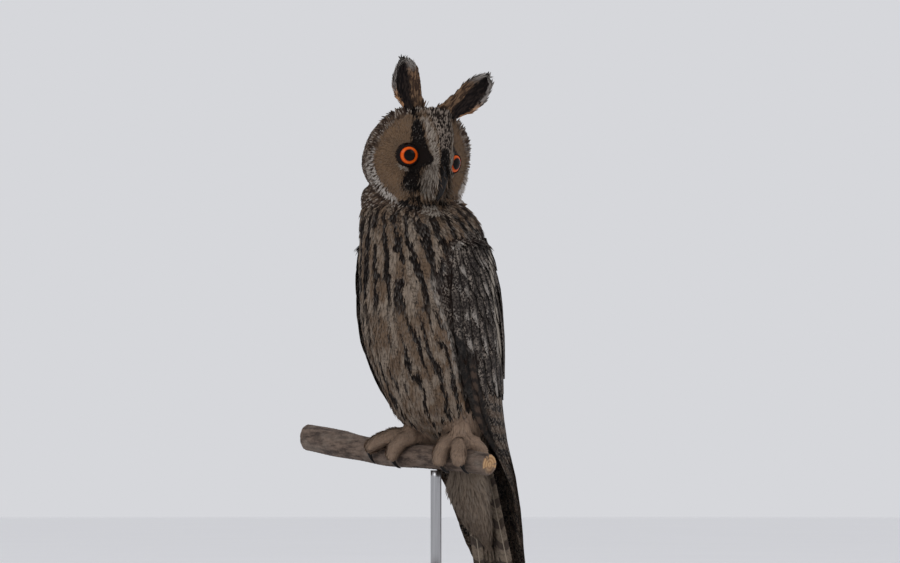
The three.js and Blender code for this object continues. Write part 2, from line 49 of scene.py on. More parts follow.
# %% [markdown]
# A bird's outline is a few smooth curves. Each of these small functions is used many times below: a soft step,
# a soft hump, and a smooth curve through a handful of stations, which is how a boat builder gives a hull's width.

# %% Soft steps and smooth curves
def step(x, low, high):
    t = np.clip((np.asarray(x, float) - low) / (high - low), 0, 1)
    return t * t * (3 - 2 * t)


def hump(distance, width):
    return np.exp(-((np.asarray(distance, float) / width) ** 2))


def blend(a, b, share):
    return a + (b - a) * share


def through(stations):
    """A smooth function through [(place, value), ...], level past its ends."""
    at, value = np.array(stations, float).T
    slope = np.zeros(len(at))
    slope[1:-1] = (value[2:] - value[:-2]) / (at[2:] - at[:-2])

    def curve(place):
        place = np.clip(np.asarray(place, float), at[0], at[-1])
        i = np.clip(np.searchsorted(at, place, side="right") - 1, 0, len(at) - 2)
        long = at[i + 1] - at[i]
        t = (place - at[i]) / long
        start = (2 * t**3 - 3 * t**2 + 1) * value[i] + (t**3 - 2 * t**2 + t) * slope[i] * long
        return start + (3 * t**2 - 2 * t**3) * value[i + 1] + (t**3 - t**2) * slope[i + 1] * long

    return curve


def vector(*parts):
    """Points or directions from x, y and z, each a number or an array."""
    return np.stack(np.broadcast_arrays(*parts), -1).astype(float)


def unit(v):
    return v / np.maximum(np.linalg.norm(v, axis=-1, keepdims=True), 1e-9)


def circle(count):
    return np.linspace(0, 2 * np.pi, count, endpoint=False)


# %% [markdown]
# A mesh piece is made from arrays of points and faces. Rings of points with the same count make a tube or a
# round body, closed at both ends by a fan of triangles, so that no shape is left open.

# %% Meshes from rings of points
def link(name, data):
    made = bpy.data.objects.new(name, data)
    bpy.context.scene.collection.objects.link(made)
    return made


def mesh_piece(name, points, faces):
    mesh = bpy.data.meshes.new(name)
    mesh.from_pydata([tuple(p) for p in points], [], faces)
    mesh.validate()
    return link(name, mesh)


def tube_piece(name, rings):
    """A closed body through rings of points, an array of shape (rings, points, 3) in metres."""
    rings = np.asarray(rings, float)
    count = rings.shape[1]
    start = len(rings) * count
    last = start - count
    pairs = [(j, (j + 1) % count) for j in range(count)]
    faces = [(i + a, i + b, i + b + count, i + a + count) for i in range(0, last, count) for a, b in pairs]
    for a, b in pairs:
        faces += [(start, b, a), (start + 1, last + a, last + b)]
    return face_outwards(mesh_piece(name, np.vstack([rings.reshape(-1, 3), rings[0].mean(0), rings[-1].mean(0)]),
                                    faces))


def face_outwards(piece, weld=True):
    made = bmesh.new()
    made.from_mesh(piece.data)
    if weld:
        bmesh.ops.remove_doubles(made, verts=made.verts, dist=1e-6)
    bmesh.ops.recalc_face_normals(made, faces=made.faces)
    if made.calc_volume(signed=True) < 0:
        bmesh.ops.reverse_faces(made, faces=made.faces)
    made.to_mesh(piece.data)
    made.free()
    return piece


def path_rings(path, radius, sides=16):
    """A round tube's rings along a path; radius is one value or one for each point."""
    along = unit(np.gradient(np.asarray(path, float), axis=0))
    side = unit(np.cross(along, [1.0, 0, 0]))
    turn = circle(sides)[:, None]
    spokes = np.cos(turn) * side[:, None] + np.sin(turn) * np.cross(side, along)[:, None]
    return np.asarray(path)[:, None] + np.broadcast_to(radius, len(path))[:, None, None] * spokes


def spline(points, count):
    """Evenly spaced points on a smooth curve through a few, straight at its ends."""
    points = np.asarray(points, float)
    place = np.concatenate([[0], np.cumsum(np.linalg.norm(np.diff(points, axis=0), axis=1))])
    t = np.linspace(0, place[-1], count)
    made = np.stack([through(list(zip(place, column)))(t) for column in points.T], 1)
    for end, near in ((0, 1), (-1, -2)):
        share = np.abs((t - place[end]) / (place[near] - place[end]))
        here = share < 1
        share = share[here, None]
        made[here] = blend(blend(points[end], points[near], share), made[here], step(share, 0, 1))
    return made


# %% [markdown]
# ## The owl's shape
# The skin lies inside the solids by the depth of the coat, so it is made from the same curves as the solids are:
# a leaning, egg-shaped body, a head with a hollow-cheeked face, two legs and eight toes. Heights here are in
# millimetres from the top of the perch, as a maker would measure the bird itself.

# %% Sizes of the body and head
PERCH_TOP = 134.0
SIDES = {"left": 1, "right": -1}
HEAD_CENTRE = (2.8, -27.6, 205.0)
HEAD_TURN, HEAD_ROLL, HEAD_PITCH = math.radians(75), math.radians(6), math.radians(8)
DISC_HALF_WIDTH, DISC_TOP, DISC_BOTTOM = 44.0, 43.0, 33.0
RIM_FORWARD, HEAD_BACK = 6.0, 37.0
DISC_RINGS, SKULL_RINGS, SKULL_ARC = 44, 26, math.radians(84.375)
EYE_SIDE, EYE_RADIUS, EYE_FORWARD, EYE_UP = 18.0, 10.5, 13.3, 6.3
EYE_SPLAY = math.radians(18)

body_middle = through([(-78, 60.5), (-60, 50.5), (-45, 42.5), (-30, 37.5), (-10, 36), (4, 27), (23, 12.5), (41, 4),
                       (78, -7.5), (124, -14), (161, -18), (186, -26), (200, -28)])
body_shift = through([(150, 0), (161, -0.5), (173, -1.5), (186, -4), (200, -5)])
body_radius = through([(-78, 2.5), (-60, 10.5), (-45, 14.5), (-30, 17.5), (-10, 17), (4, 25.5), (23, 38),
                       (41, 43.5), (78, 50), (124, 49.5), (161, 46.5), (173, 43.5), (186, 38), (200, 26)])
throat_depth = through([(155, 0), (168, 0.12), (176, 0.23), (186, 0.3), (200, 0.3)])


def around(angle):
    return np.arctan2(np.sin(angle), np.cos(angle))


def body_point(height, angle, out):
    """A point of the body at a height, at an angle from its front towards its left."""
    away = around(angle - HEAD_TURN)
    throat = throat_depth(height) * hump(away, np.where(away < 0, 1.3, 0.7))
    r = body_radius(height) * (1 - throat) + out
    return vector(body_shift(height) + 1.02 * r * np.sin(angle), body_middle(height) - 0.98 * r * np.cos(angle),
                  height)


def in_world(points):
    """From millimetres over the perch's top to the solids' frame in metres."""
    return (np.asarray(points, float) + [0, 0, PERCH_TOP]) * MM


# %% The head's surface
def bar_distance(x, z, start, end):
    """How far points are from a straight bar, and how far along it they lie, from 0 to 1."""
    (ax, az), (bx, bz) = start, end
    t = np.clip(((x - ax) * (bx - ax) + (z - az) * (bz - az)) / ((bx - ax) ** 2 + (bz - az) ** 2), 0, 1)
    return np.hypot(x - ax - t * (bx - ax), z - az - t * (bz - az)), t


def disc_height(z):
    return np.where(z > 0, DISC_TOP, DISC_BOTTOM)


def face_forward(x, z):
    """How far the face stands ahead of the head's centre."""
    side = np.abs(x)
    wide, high = side / DISC_HALF_WIDTH, z / disc_height(z)
    dome = RIM_FORWARD + 14 * (1 - wide * wide - high * high * np.where(z > 0, 1, 0.1))
    chin = 9 * step(-z, 4, 26) * hump(x, 15)
    width = blend(8.5, 15, step(z, -8, 36))
    wedge = 20 * step(z, -27, -2) * blend(1, 0.85, step(z, 20, 42)) * hump(x * x, width * width)
    brow = 4 * hump(bar_distance(side, z, (5, -12), (22, 36))[0], 4.5)
    lid = 2.5 * hump(np.hypot(side - EYE_SIDE, z - EYE_UP) - 9.5, 3)
    dish = -1.5 * hump(np.hypot(side - 33, z + 6), 9)
    rim = 2.2 * hump(np.minimum(1, np.hypot(wide, high)) - 0.97, 0.06)
    bristles = 5 * hump(np.hypot(side - 8, z + 17), 6)
    return dome + chin + wedge + brow + lid + dish + rim + bristles


def outline(angle):
    up = np.abs(around(angle))
    return 1 + 0.1 * hump(up - 0.85, 0.4) + 0.05 * hump(up - 2.4, 0.5)


HEAD = np.array(Matrix.Translation(HEAD_CENTRE) @ Matrix.Rotation(HEAD_TURN, 4, "Z")
                @ Matrix.Rotation(HEAD_ROLL, 4, "Y") @ Matrix.Rotation(HEAD_PITCH, 4, "X"))
HEAD_AXES, HEAD_PLACE = HEAD[:3, :3], HEAD[:3, 3]


def from_head(points):
    """Head coordinates (x to its left, -y forward, z up) to the solids' frame."""
    return in_world(np.asarray(points, float) @ HEAD_AXES.T + HEAD_PLACE)


def to_head(points):
    return (np.asarray(points, float) - HEAD_PLACE) @ HEAD_AXES


def head_rings(out):
    """Rings from the middle of the face to its rim, and back from there over the skull."""
    turn = circle(120)
    rim_x, rim_z = DISC_HALF_WIDTH * np.sin(turn), disc_height(np.cos(turn)) * np.cos(turn)
    wider = out / DISC_HALF_WIDTH
    rings = []
    for i in range(DISC_RINGS + 1):
        t = max(i, 0.2) / DISC_RINGS
        x, z = t * rim_x, t * rim_z
        wide = blend(1, outline(turn), t * t) + wider * t
        from_eye = np.hypot(np.abs(x) - EYE_SIDE, z - EYE_UP)
        inset = out * (1 - 0.75 * hump(from_eye - 8.5, 3.5)) + 0.8 * hump(from_eye - 9.0, 2.0)
        rings.append(vector(x * wide, -face_forward(x, z) - inset, z * wide))
    for t in np.arange(1, SKULL_RINGS + 1) / SKULL_RINGS:
        back = t * SKULL_ARC
        wide = (blend(outline(turn), 1, t) + wider) * math.cos(back) ** 0.72 * (1 - 0.05 * step(t * 6, 0, 2))
        ahead = blend(face_forward(rim_x, rim_z), RIM_FORWARD, t)
        rings.append(vector(rim_x * wide, (ahead + HEAD_BACK) * math.sin(back) - ahead + out, rim_z * wide))
    return np.array(rings)


# %% [markdown]
# The perch and the feet belong together: each toe follows the round of the branch from its top, two forward and
# two back, as an owl grips. The same path carries the claw on past the toe's end.

# %% Perch, toes and legs as paths
PERCH_RADIUS, PERCH_SLOPE, PERCH_ENDS = 9.0, math.radians(7), (-128.0, 50.0)
LEG_SIDE, TOE_RADIUS = 22.0, 5.0
TOES = {  # place and splay along the perch, then the angles round it from the toe's root to its end
    "left": [(-4, -3, -6, -104), (4, 8, -4, -94), (-3, -1, 6, 92), (4, 6, 4, 82)],
    "right": [(-3, 11, -6, -100), (3, 27, -4, -82), (-3, -1, 6, 92), (4, 8, 4, 82)],
}


def perch_centre(x):
    return vector(x, 1.6 * np.sin(x / 34),
                  -PERCH_RADIUS - math.tan(PERCH_SLOPE) * x + 1.4 * np.sin(x / 27 + 0.5) - 0.7)


def perch_radius(x):
    return PERCH_RADIUS - 0.011 * x + 0.35 * np.sin(x / 9)


def wrap_path(x, splay, start, end, lift, count):
    """A path round the perch from one angle to another, `lift` above its bark."""
    t = np.linspace(0, 1, count)
    turn = np.radians(blend(start, end, t))
    at = x + splay * t
    r = perch_radius(at) + lift(t)
    return perch_centre(at) + vector(0, r * np.sin(turn), r * np.cos(turn))


def toe_path(side, toe, count):
    x, splay, start, end = toe
    return wrap_path(side * (LEG_SIDE + x), side * splay, start, end, lambda t: TOE_RADIUS + 0.5, count)


def foot_top(side):
    return perch_centre(side * LEG_SIDE) + [0, 0, perch_radius(side * LEG_SIDE) + TOE_RADIUS]


def leg_path(side, count):
    return spline([(side * 20, 8, 44), (side * 21, 4, 28), (side * 22, 2, 16), foot_top(side) + [0, 0, 2]], count)


print("the head looks", round(math.degrees(HEAD_TURN)), "degrees to the owl's left of its breast")

# %% [markdown]
# ## One skin under the feathers
# The body, head, legs, toes and the wings' shoulders are made as rough closed shapes that run into one another. A
# voxel remesh melts them into a single surface with no seams, and a few rounds of smoothing relax it.

# %% Rough shapes
BODY_COAT, HEAD_COAT, LEG_COAT, FOOT_COAT = 4.0, 2.0, 1.6, 0.2  # how deep the coat lies over the skin
WING_TOP, WING_CORE_END = 150.0, 34.0
wing_middle = through([(-112, 71), (-60, 58.5), (-30, 49.5), (0, 31), (23, 13), (41, 4), (78, -7.5), (124, -14),
                       (161, -18)])
wing_wide = through([(-112, 26), (-60, 29), (-30, 30), (0, 33), (23, 39.3), (41, 44.4), (78, 51), (124, 50.5),
                     (161, 47)])
wing_deep = through([(-112, 13), (-60, 14), (-30, 18), (0, 27), (23, 37.8), (41, 42.7), (78, 49), (124, 48.5),
                     (161, 45)])
wing_front = through([(-112, 118), (-60, 110), (-30, 95), (0, 79), (30, 69), (78, 65), (150, 66)])
wing_rear = through([(-112, 158), (-60, 168), (0, 176), (78, 177.6), (110, 172), (150, 150)])


def wing_point(side, height, angle, out):
    """A point of the folded wing's sheet; the angle is in degrees from the owl's front."""
    turn = np.radians(angle)
    return vector(side * (wing_wide(height) + out) * np.sin(turn),
                  wing_middle(height) - (wing_deep(height) + out) * np.cos(turn), height)


def wing_core(side):
    bulge = 0.3 + 0.7 * np.sin(np.linspace(0, np.pi, 18)) ** 0.5
    rings = []
    for height in np.linspace(WING_TOP, WING_CORE_END, 16):
        thick = 3 * step(height, WING_CORE_END - 14, 60) * blend(1, 0.4, step(height, 130, WING_TOP))
        angle = np.linspace(float(wing_front(height)), float(wing_rear(height)), 18)
        rings.append(np.vstack([wing_point(side, height, angle, -6),
                                wing_point(side, height, angle[::-1], thick * bulge - 1.5)]))
    return rings


rough = [tube_piece("rough_body", in_world([body_point(h, circle(96), -min(BODY_COAT, 0.22 * float(body_radius(h))))
                                            for h in np.linspace(-76, 196, 90)])),
         tube_piece("rough_head", from_head(head_rings(-HEAD_COAT)))]
for name, side in SIDES.items():
    leg_radius = blend(19, 8.6, step(np.linspace(0, 1, 20), 0, 0.8)) - LEG_COAT
    pad_path = [foot_top(side) + [0, 0, z] for z in np.linspace(-5, 5, 12)]
    pad_radius = 8.5 * np.sqrt(1 - np.linspace(-0.95, 0.95, 12) ** 2)
    t = np.linspace(0, 1, 24)
    knuckles = 1 + 0.05 * np.cos(t * 3 * 2 * np.pi)
    toe_radius = (blend(6.3, 5.0, t) * knuckles - FOOT_COAT) * np.sqrt(1 - 0.7 * step(t, 0.88, 1.0))
    shapes = [path_rings(leg_path(side, 20), leg_radius), path_rings(pad_path, pad_radius)]
    shapes += [path_rings(toe_path(side, toe, 24), toe_radius) for toe in TOES[name]]
    rough += [tube_piece("rough_" + name, in_world(rings)) for rings in (*shapes, wing_core(side))]
print("rough shapes:", len(rough))


# %% Melt the shapes into one skin
def evaluated(piece):
    """The piece's mesh with its modifiers applied; the modifiers are then removed."""
    bpy.context.view_layer.update()
    graph = bpy.context.evaluated_depsgraph_get()
    made = bpy.data.meshes.new_from_object(piece.evaluated_get(graph), preserve_all_data_layers=True,
                                           depsgraph=graph)
    piece.modifiers.clear()
    piece.data = made
    return piece


def select_only(pieces):
    for other in bpy.context.selected_objects:
        other.select_set(False)
    for piece in pieces:
        piece.select_set(True)
    bpy.context.view_layer.objects.active = pieces[0]


select_only(rough)
bpy.ops.object.join()
skin = rough[0]
skin.name = skin.data.name = "skin"
melt = skin.modifiers.new("melt", "REMESH")
melt.mode, melt.voxel_size, melt.use_smooth_shade = "VOXEL", 1.3 * MM, True
relax = skin.modifiers.new("relax", "SMOOTH")
relax.factor, relax.iterations = 0.5, 5
evaluated(skin)
print("skin:", len(skin.data.vertices), "points", len(skin.data.polygons), "faces")

# %% [markdown]
# The export paints every feather from one small patch of an unwrap, so the skin is unwrapped by its own shape now.
# Smart projection cuts it into islands by the way its faces look, and each feather will remember the place on
# that unwrap where its root stands.

# %% Unwrap the skin
def unwrap(piece):
    select_only([piece])
    piece.data.uv_layers.new(name="OFBake")
    bpy.ops.object.mode_set(mode="EDIT")
    bpy.ops.mesh.select_all(action="SELECT")
    bpy.ops.uv.smart_project(angle_limit=1.1, island_margin=0.002)
    bpy.ops.object.mode_set(mode="OBJECT")


unwrap(skin)
print("the skin's map:", skin.data.uv_layers[0].name)

# %% [markdown]
# ## Which way the feathers lie
# Every feather lies away from the bill: outwards round each eye, up the forehead, back over the crown, and down the
# body to the tail. Each point of the skin is given that direction, and a number for each kind of coat that says
# how closely it grows there. The feathers read both later on.

# %% Places on the skin
def per_point(mesh, what="co"):
    found = np.empty(len(mesh.vertices) * 3, np.float32)
    mesh.vertices.foreach_get(what, found)
    return found.reshape(-1, 3).astype(float)


def places(mesh):
    """The mesh's points in millimetres over the perch's top."""
    return per_point(mesh) / MM - [0, 0, PERCH_TOP]


def keep(mesh, name, values, kind="FLOAT"):
    made = mesh.attributes.new(name, kind, "POINT")
    made.data.foreach_set("value" if kind == "FLOAT" else "vector", np.asarray(values, np.float32).ravel())


place = places(skin.data)
facing = per_point(skin.data, "normal")
x, y, height = place.T
hx, hf, hz = (to_head(place) * [1, -1, 1]).T
cheek = np.where(hx < 0, -1.0, 1.0)
side_x = np.abs(hx)
disc = np.hypot(hx / DISC_HALF_WIDTH, hz / disc_height(hz))
turn = np.arctan2(x - body_shift(height), body_middle(height) - y)
wing_x, wing_y = np.abs(x) / wing_wide(height), (wing_middle(height) - y) / wing_deep(height)
wing_turn, wing_out = np.degrees(np.arctan2(wing_x, wing_y)), (np.hypot(wing_x, wing_y) - 1) * 48

above_face = hf - face_forward(hx, hz)
on_face = (above_face > -8) & (above_face < 6) & (disc < 1.0) & ((facing @ HEAD_AXES)[:, 1] < 0.3)
in_skull = (hx / 47) ** 2 + (hz / 50) ** 2 + ((hf + 1) / 43) ** 2 < 1.08
on_head = on_face | (in_skull & (height > 176)) | (height > 190)
on_wing = ((height > 36) & (height < 150) & (wing_out > -3.4) & (wing_turn > wing_front(height) - 2)
           & (wing_turn < wing_rear(height) + 3))


def distance_to(paths):
    return np.min([np.linalg.norm(place[:, None] - path, axis=2).min(1) for path in paths], axis=0)


to_toe = distance_to([toe_path(side, toe, 8) for name, side in SIDES.items() for toe in TOES[name]])
on_foot = (to_toe < TOE_RADIUS + 4) & (height < 17)
on_leg = ((distance_to([leg_path(side, 8) for side in SIDES.values()]) < 19) & (height < 30) & (height > 0)
          & ~on_foot & (y < 22))
print("points on the face", on_face.sum(), "head", on_head.sum(), "wings", on_wing.sum(), "feet", on_foot.sum())

# %% The lie of the coat
eye_x, eye_z = hx - cheek * EYE_SIDE, hz - EYE_UP
eye_distance = np.hypot(eye_x, eye_z)
forehead = hump(hx, blend(6.0, 12.0, step(hz, -5, 36))) * step(hz, -8, 6)
by_bill = hump(side_x - 7, 6) * hump(hz + 12, 11)
chin = step(-hz, 18, 27) * hump(hx, 16)
face_lie = sum(share[:, None] * unit(way) for share, way in (
    ((1 - forehead - by_bill - chin).clip(0.02), vector(eye_x, 0, eye_z)),
    (forehead, vector(0.22 * hx / 8, -0.1, 1)),
    (by_bill, vector(cheek * 0.9, -0.2, -0.5)),
    (chin, vector(0.04 * hx, 0, -1))))
head_lie = np.where(on_face[:, None], face_lie, unit(vector(0.25 * hx / 40, 1, -0.5)))
head_lie = unit(head_lie + vector(0, 0.8 * step(disc, 0.9, 1.0) * on_face, 0)) @ HEAD_AXES.T
fan = 0.3 * np.sin(turn) * step(height, -20, 60)
down = vector(fan * np.cos(turn), fan * np.sin(turn) + 0.35 * step(-height, 0, 20), -1)
toe_lie = vector(0, np.where(y < 0, -1.0, 1.0) * step(height, -12, 2), -0.6)
lie = np.where(on_head[:, None], head_lie, np.where(on_foot[:, None], toe_lie, down))
keep(skin.data, "flow_across", (turn * 45 + fan * (height - 120)) * MM)
for name, values in (("lie", unit(lie - (lie * facing).sum(1, keepdims=True) * facing)), ("skin_normal", facing),
                     ("lie_bristle", unit(vector(-cheek * 0.1, -0.6, -1)) @ HEAD_AXES.T)):
    keep(skin.data, name, values, "FLOAT_VECTOR")
print("lie: down", (lie[:, 2] < 0).sum(), "up", (lie[:, 2] >= 0).sum())

# %% Where each coat grows
bare = ~on_head & ~on_leg & ~on_foot & ~on_wing
behind = np.abs(turn) > 1.75
coats = {
    "face": on_face * step(eye_distance, 7.6, 8.4) * (disc < 0.97),
    "bristle": on_face * hump(side_x - 6.0, 4.5) * step(hz, -24, -20) * (1 - step(hz, 2, 6)),
    "crown": on_head & ~(on_face & (disc < 0.95)),
    "leg": on_leg,
    "foot": on_foot,
    "mantle": on_wing,
    "back": bare & behind & (height > 20),
    "breast": bare & ~behind & (height > 40),
    "belly": bare & (~behind | (height <= 20)) & (height <= 40) & (height > -76),
}
for name, density in coats.items():
    keep(skin.data, "grows_" + name, density)
print("coats:", {name: int((density > 0.5).sum()) for name, density in coats.items()})

# %% [markdown]
# ## Shader maths as Python
# A material is a small sum worked out at every point. Writing it as one, with + and *, is far easier to read than
# a list of nodes and links. The class wraps one socket; each operator adds one Math node behind the scenes.

# %% Sockets that take part in sums
class Value:
    """A shader socket; arithmetic with it adds Math nodes."""

    def __init__(self, look, socket):
        self.look, self.socket = look, socket

    def sum(self, operation, *others, **settings):
        return self.look.node("ShaderNodeMath", {"operation": operation, **settings}, self, *others)

    def __add__(self, other): return self.sum("ADD", other)
    def __sub__(self, other): return self.sum("SUBTRACT", other)
    def __mul__(self, other): return self.sum("MULTIPLY", other)
    def __truediv__(self, other): return self.sum("DIVIDE", other)
    def __rsub__(self, other): return self.look.node("ShaderNodeMath", {"operation": "SUBTRACT"}, other, self)
    def __neg__(self): return self * -1.0
    def __abs__(self): return self.sum("ABSOLUTE")
    __radd__, __rmul__ = __add__, __mul__

    def sine(self): return self.sum("SINE")
    def clamp(self): return self.sum("ADD", 0.0, use_clamp=True)

    def step(self, low, high):
        """0 below low, 1 above high, smooth between; turned round when high is the smaller."""
        ends = (low, high, 0.0, 1.0) if low < high else (high, low, 1.0, 0.0)
        return self.look.node("ShaderNodeMapRange", {"interpolation_type": "SMOOTHSTEP"}, self, *ends)

    def axis(self, index):
        return self.look.node("ShaderNodeSeparateXYZ", {}, self, out=index)

    def stretched(self, *scale):
        return self.look.node("ShaderNodeMapping", {}, self, Scale=scale)

    def noise(self, scale, detail=2.0, rough=0.5):
        return self.look.node("ShaderNodeTexNoise", {}, self, Scale=scale, Detail=detail, Roughness=rough)


class Look:
    """One material. node() is the only way that its nodes are made."""

    def __init__(self, name, **constants):
        self.material = bpy.data.materials.new(name)
        self.material.use_nodes = True
        self.tree = self.material.node_tree
        self.shader = next(n for n in self.tree.nodes if n.type == "BSDF_PRINCIPLED")
        for socket, value in constants.items():
            self.shader.inputs[socket.replace("_", " ")].default_value = value

    def node(self, kind, settings, *inputs, out=0, at=(), **named):
        """A new node's output. Its inputs are given in order, in `at` by number, or by name with _ for a space."""
        made = self.tree.nodes.new(kind)
        for key, value in settings.items():
            setattr(made, key, value)
        for key, value in [*enumerate(inputs), *dict(at).items(), *named.items()]:
            self.feed(made.inputs[key if isinstance(key, int) else key.replace("_", " ")], value)
        return Value(self, made.outputs[out])

    def feed(self, socket, value):
        if isinstance(value, Value):
            self.tree.links.new(value.socket, socket)
        elif value is not None:
            socket.default_value = (*value, 1.0) if socket.type == "RGBA" else value

    def mix(self, share, first, second):
        """A colour between two; share is a number or a Value."""
        return self.node("ShaderNodeMix", {"data_type": "RGBA"}, out=2, at={0: share, 6: first, 7: second})

    def layers(self, colour, *coats):
        """A colour with others laid over it in turn, each given as (share, colour)."""
        for share, over in coats:
            colour = self.mix(share, colour, over)
        return colour

    def attribute(self, name):
        return self.node("ShaderNodeAttribute", {"attribute_name": name}, out=2)

    def direction(self, name):
        return self.node("ShaderNodeAttribute", {"attribute_name": name}, out=1)

    def place(self):
        return self.node("ShaderNodeTexCoord", {}, out=3)

    def finish(self, colour, roughness=None, bump=None, depth=0.0, normal=None):
        if bump is not None:
            normal = self.node("ShaderNodeBump", {}, Strength=1.0, Distance=depth, Height=bump)
        for name, value in (("Base Color", colour), ("Roughness", roughness), ("Normal", normal)):
            self.feed(self.shader.inputs[name], value)
        return self.material


def rgb(*channels):
    """A colour as a paint chart gives it, 0 to 255, as the linear values that Blender works in."""
    return tuple(v / 255 / 12.92 if v / 255 <= 0.04045 else ((v / 255 + 0.055) / 1.055) ** 2.4 for v in channels)


print("shader maths ready")


# %% Hand a piece over
def dress(piece, slot, material, *nodes):
    """Gives a finished piece its material and its body, and hides the solids that it stands for. The slot is not
    used.
    """
    if material:
        piece.data.materials.clear()
        piece.data.materials.append(material)
    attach(piece, "root")
    if nodes:
        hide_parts(*nodes)


def rounded(piece):
    piece.data.polygons.foreach_set("use_smooth", [True] * len(piece.data.polygons))
    return piece


def triangles(piece):
    return sum(len(p.vertices) - 2 for p in piece.data.polygons)


print("every piece rides on one body, root")

# %% [markdown]
# ## Feathers as blades
# A coat feather is one small closed blade: a ridge along its shaft, two edges that swell and taper, and a tip. The
# blade carries its own two numbers, how far along and how far across, so that a material can tell its root, tip and
# edges apart. It is one unit long and has 12 triangles.

# %% One blade
CAMBER, DROOP = 0.16, 0.05
points, along_across = [(0, 0, 0)], [(0, 0, 0)]
for t, half in ((0.35, 0.5), (0.75, 0.4)):
    low = -DROOP * t * t
    points += [(t, -half, low), (t, 0, low + CAMBER * half * 2), (t, half, low)]
    along_across += [(t, -1, 0), (t, 0, 0), (t, 1, 0)]
small_feather = mesh_piece("small_feather", [*points, (1, 0, -DROOP)], [
    (0, 1, 2), (0, 2, 3), (0, 3, 1), (1, 4, 5, 2), (2, 5, 6, 3), (3, 6, 4, 1), (7, 5, 4), (7, 6, 5), (7, 4, 6)])
keep(small_feather.data, "blade", [*along_across, (1, 0, 0)], "FLOAT_VECTOR")
face_outwards(small_feather, weld=False)
print("small feather:", triangles(small_feather), "triangles")

# %% [markdown]
# ## One tree that grows a coat
# The tree scatters points over the skin, never closer than the spacing, sets a blade on each along the lie, tips it
# up a little, and makes it all one mesh. The named inputs are the sizes that differ from coat to coat.

# %% The coat tree
COAT_SOCKETS = {"Geometry": "Geometry", "Blade": "Object", "Grows": "String", "Lie": "String", "Spacing": "Float",
                "Length": "Float", "Width": "Float", "Lift": "Float", "Stray": "Float", "Seed": "Int",
                "Look": "Material"}
DENSEST = 3e6  # points to a square metre, far more than any spacing leaves
PATCH = (0.003, 0.0015, 0.0)  # the part of the skin's map that one feather is painted from


def coat_tree():
    tree = bpy.data.node_groups.new("grow_coat", "GeometryNodeTree")
    tree.is_modifier = True
    for name, kind in COAT_SOCKETS.items():
        tree.interface.new_socket(name, in_out="INPUT", socket_type="NodeSocket" + kind)
    tree.interface.new_socket("Geometry", in_out="OUTPUT", socket_type="NodeSocketGeometry")
    given = tree.nodes.new("NodeGroupInput").outputs

    def add(kind, settings, *inputs, out=0, at=(), **named):
        """A new node's output, with its inputs given as in Look.node()."""
        made = tree.nodes.new(kind)
        for key, value in settings.items():
            setattr(made, key, value)
        for key, value in [*enumerate(inputs), *dict(at).items(), *named.items()]:
            socket = made.inputs[key if isinstance(key, int) else key.replace("_", " ")]
            if isinstance(value, bpy.types.NodeSocket):
                tree.links.new(value, socket)
            else:
                socket.default_value = value
        return made.outputs[out]

    def named(name, kind="FLOAT_VECTOR"):
        return add("GeometryNodeInputNamedAttribute", {"data_type": kind}, Name=name)

    def chance(low, high, seed):
        return add("FunctionNodeRandomValue", {"data_type": "FLOAT"}, out=1, at={2: low, 3: high, 8: seed})

    def times(a, b):
        return add("ShaderNodeMath", {"operation": "MULTIPLY"}, a, b)

    points = add("GeometryNodeDistributePointsOnFaces", {"distribute_method": "POISSON"}, Mesh=given["Geometry"],
                 Distance_Min=given["Spacing"], Density_Max=DENSEST,
                 Density_Factor=named(given["Grows"], "FLOAT"), Seed=given["Seed"])
    capture = tree.nodes.new("GeometryNodeCaptureAttribute")
    for kind in ("VECTOR", "FLOAT"):
        capture.capture_items.new(kind, kind.lower())
    for socket, value in zip(capture.inputs, (points, named("OFBake"), chance(0.0, 1.0, 11))):
        tree.links.new(value, socket)
    upright = add("FunctionNodeAlignRotationToVector", {"axis": "Z"}, Vector=named("skin_normal"))
    laid = add("FunctionNodeAlignRotationToVector", {"axis": "X", "pivot_axis": "Z"}, Rotation=upright,
               Vector=named(given["Lie"]))
    stray = times(given["Stray"], chance(-1.0, 1.0, 1))
    lift = times(given["Lift"], chance(-1.5, -0.5, 2))
    roll = times(given["Stray"], chance(-0.6, 0.6, 3))
    tipped = add("FunctionNodeEulerToRotation", {}, add("ShaderNodeCombineXYZ", {}, roll, lift, stray))
    turned = add("FunctionNodeRotateRotation", {"rotation_space": "LOCAL"}, Rotation=laid, Rotate_By=tipped)
    size = times(named("coat_size", "FLOAT"), chance(0.8, 1.15, 4))
    long, wide = times(given["Length"], size), times(given["Width"], size)
    grown = add("GeometryNodeInstanceOnPoints", {}, Points=capture.outputs[0], Rotation=turned,
                Instance=add("GeometryNodeObjectInfo", {}, given["Blade"], out=4),
                Scale=add("ShaderNodeCombineXYZ", {}, long, wide, wide))
    real = add("GeometryNodeRealizeInstances", {}, grown)
    patch = add("ShaderNodeVectorMath", {"operation": "MULTIPLY_ADD"}, named("blade"), PATCH, capture.outputs[1])
    mapped = add("GeometryNodeStoreNamedAttribute", {"data_type": "FLOAT2", "domain": "CORNER"}, Geometry=real,
                 Name="OFBake", Value=patch)
    counted = add("GeometryNodeStoreNamedAttribute", {"data_type": "FLOAT", "domain": "POINT"}, Geometry=mapped,
                  Name="chance", Value=capture.outputs[2])
    painted = add("GeometryNodeSetMaterial", {}, Geometry=counted, Material=given["Look"])
    tree.links.new(painted, tree.nodes.new("NodeGroupOutput").inputs[0])
    return tree


grow_coat = coat_tree()
COAT_INPUTS = {s.name: s.identifier for s in grow_coat.interface.items_tree if s.in_out == "INPUT"}
print("coat tree:", len(grow_coat.nodes), "nodes, inputs", list(COAT_INPUTS)[1:])


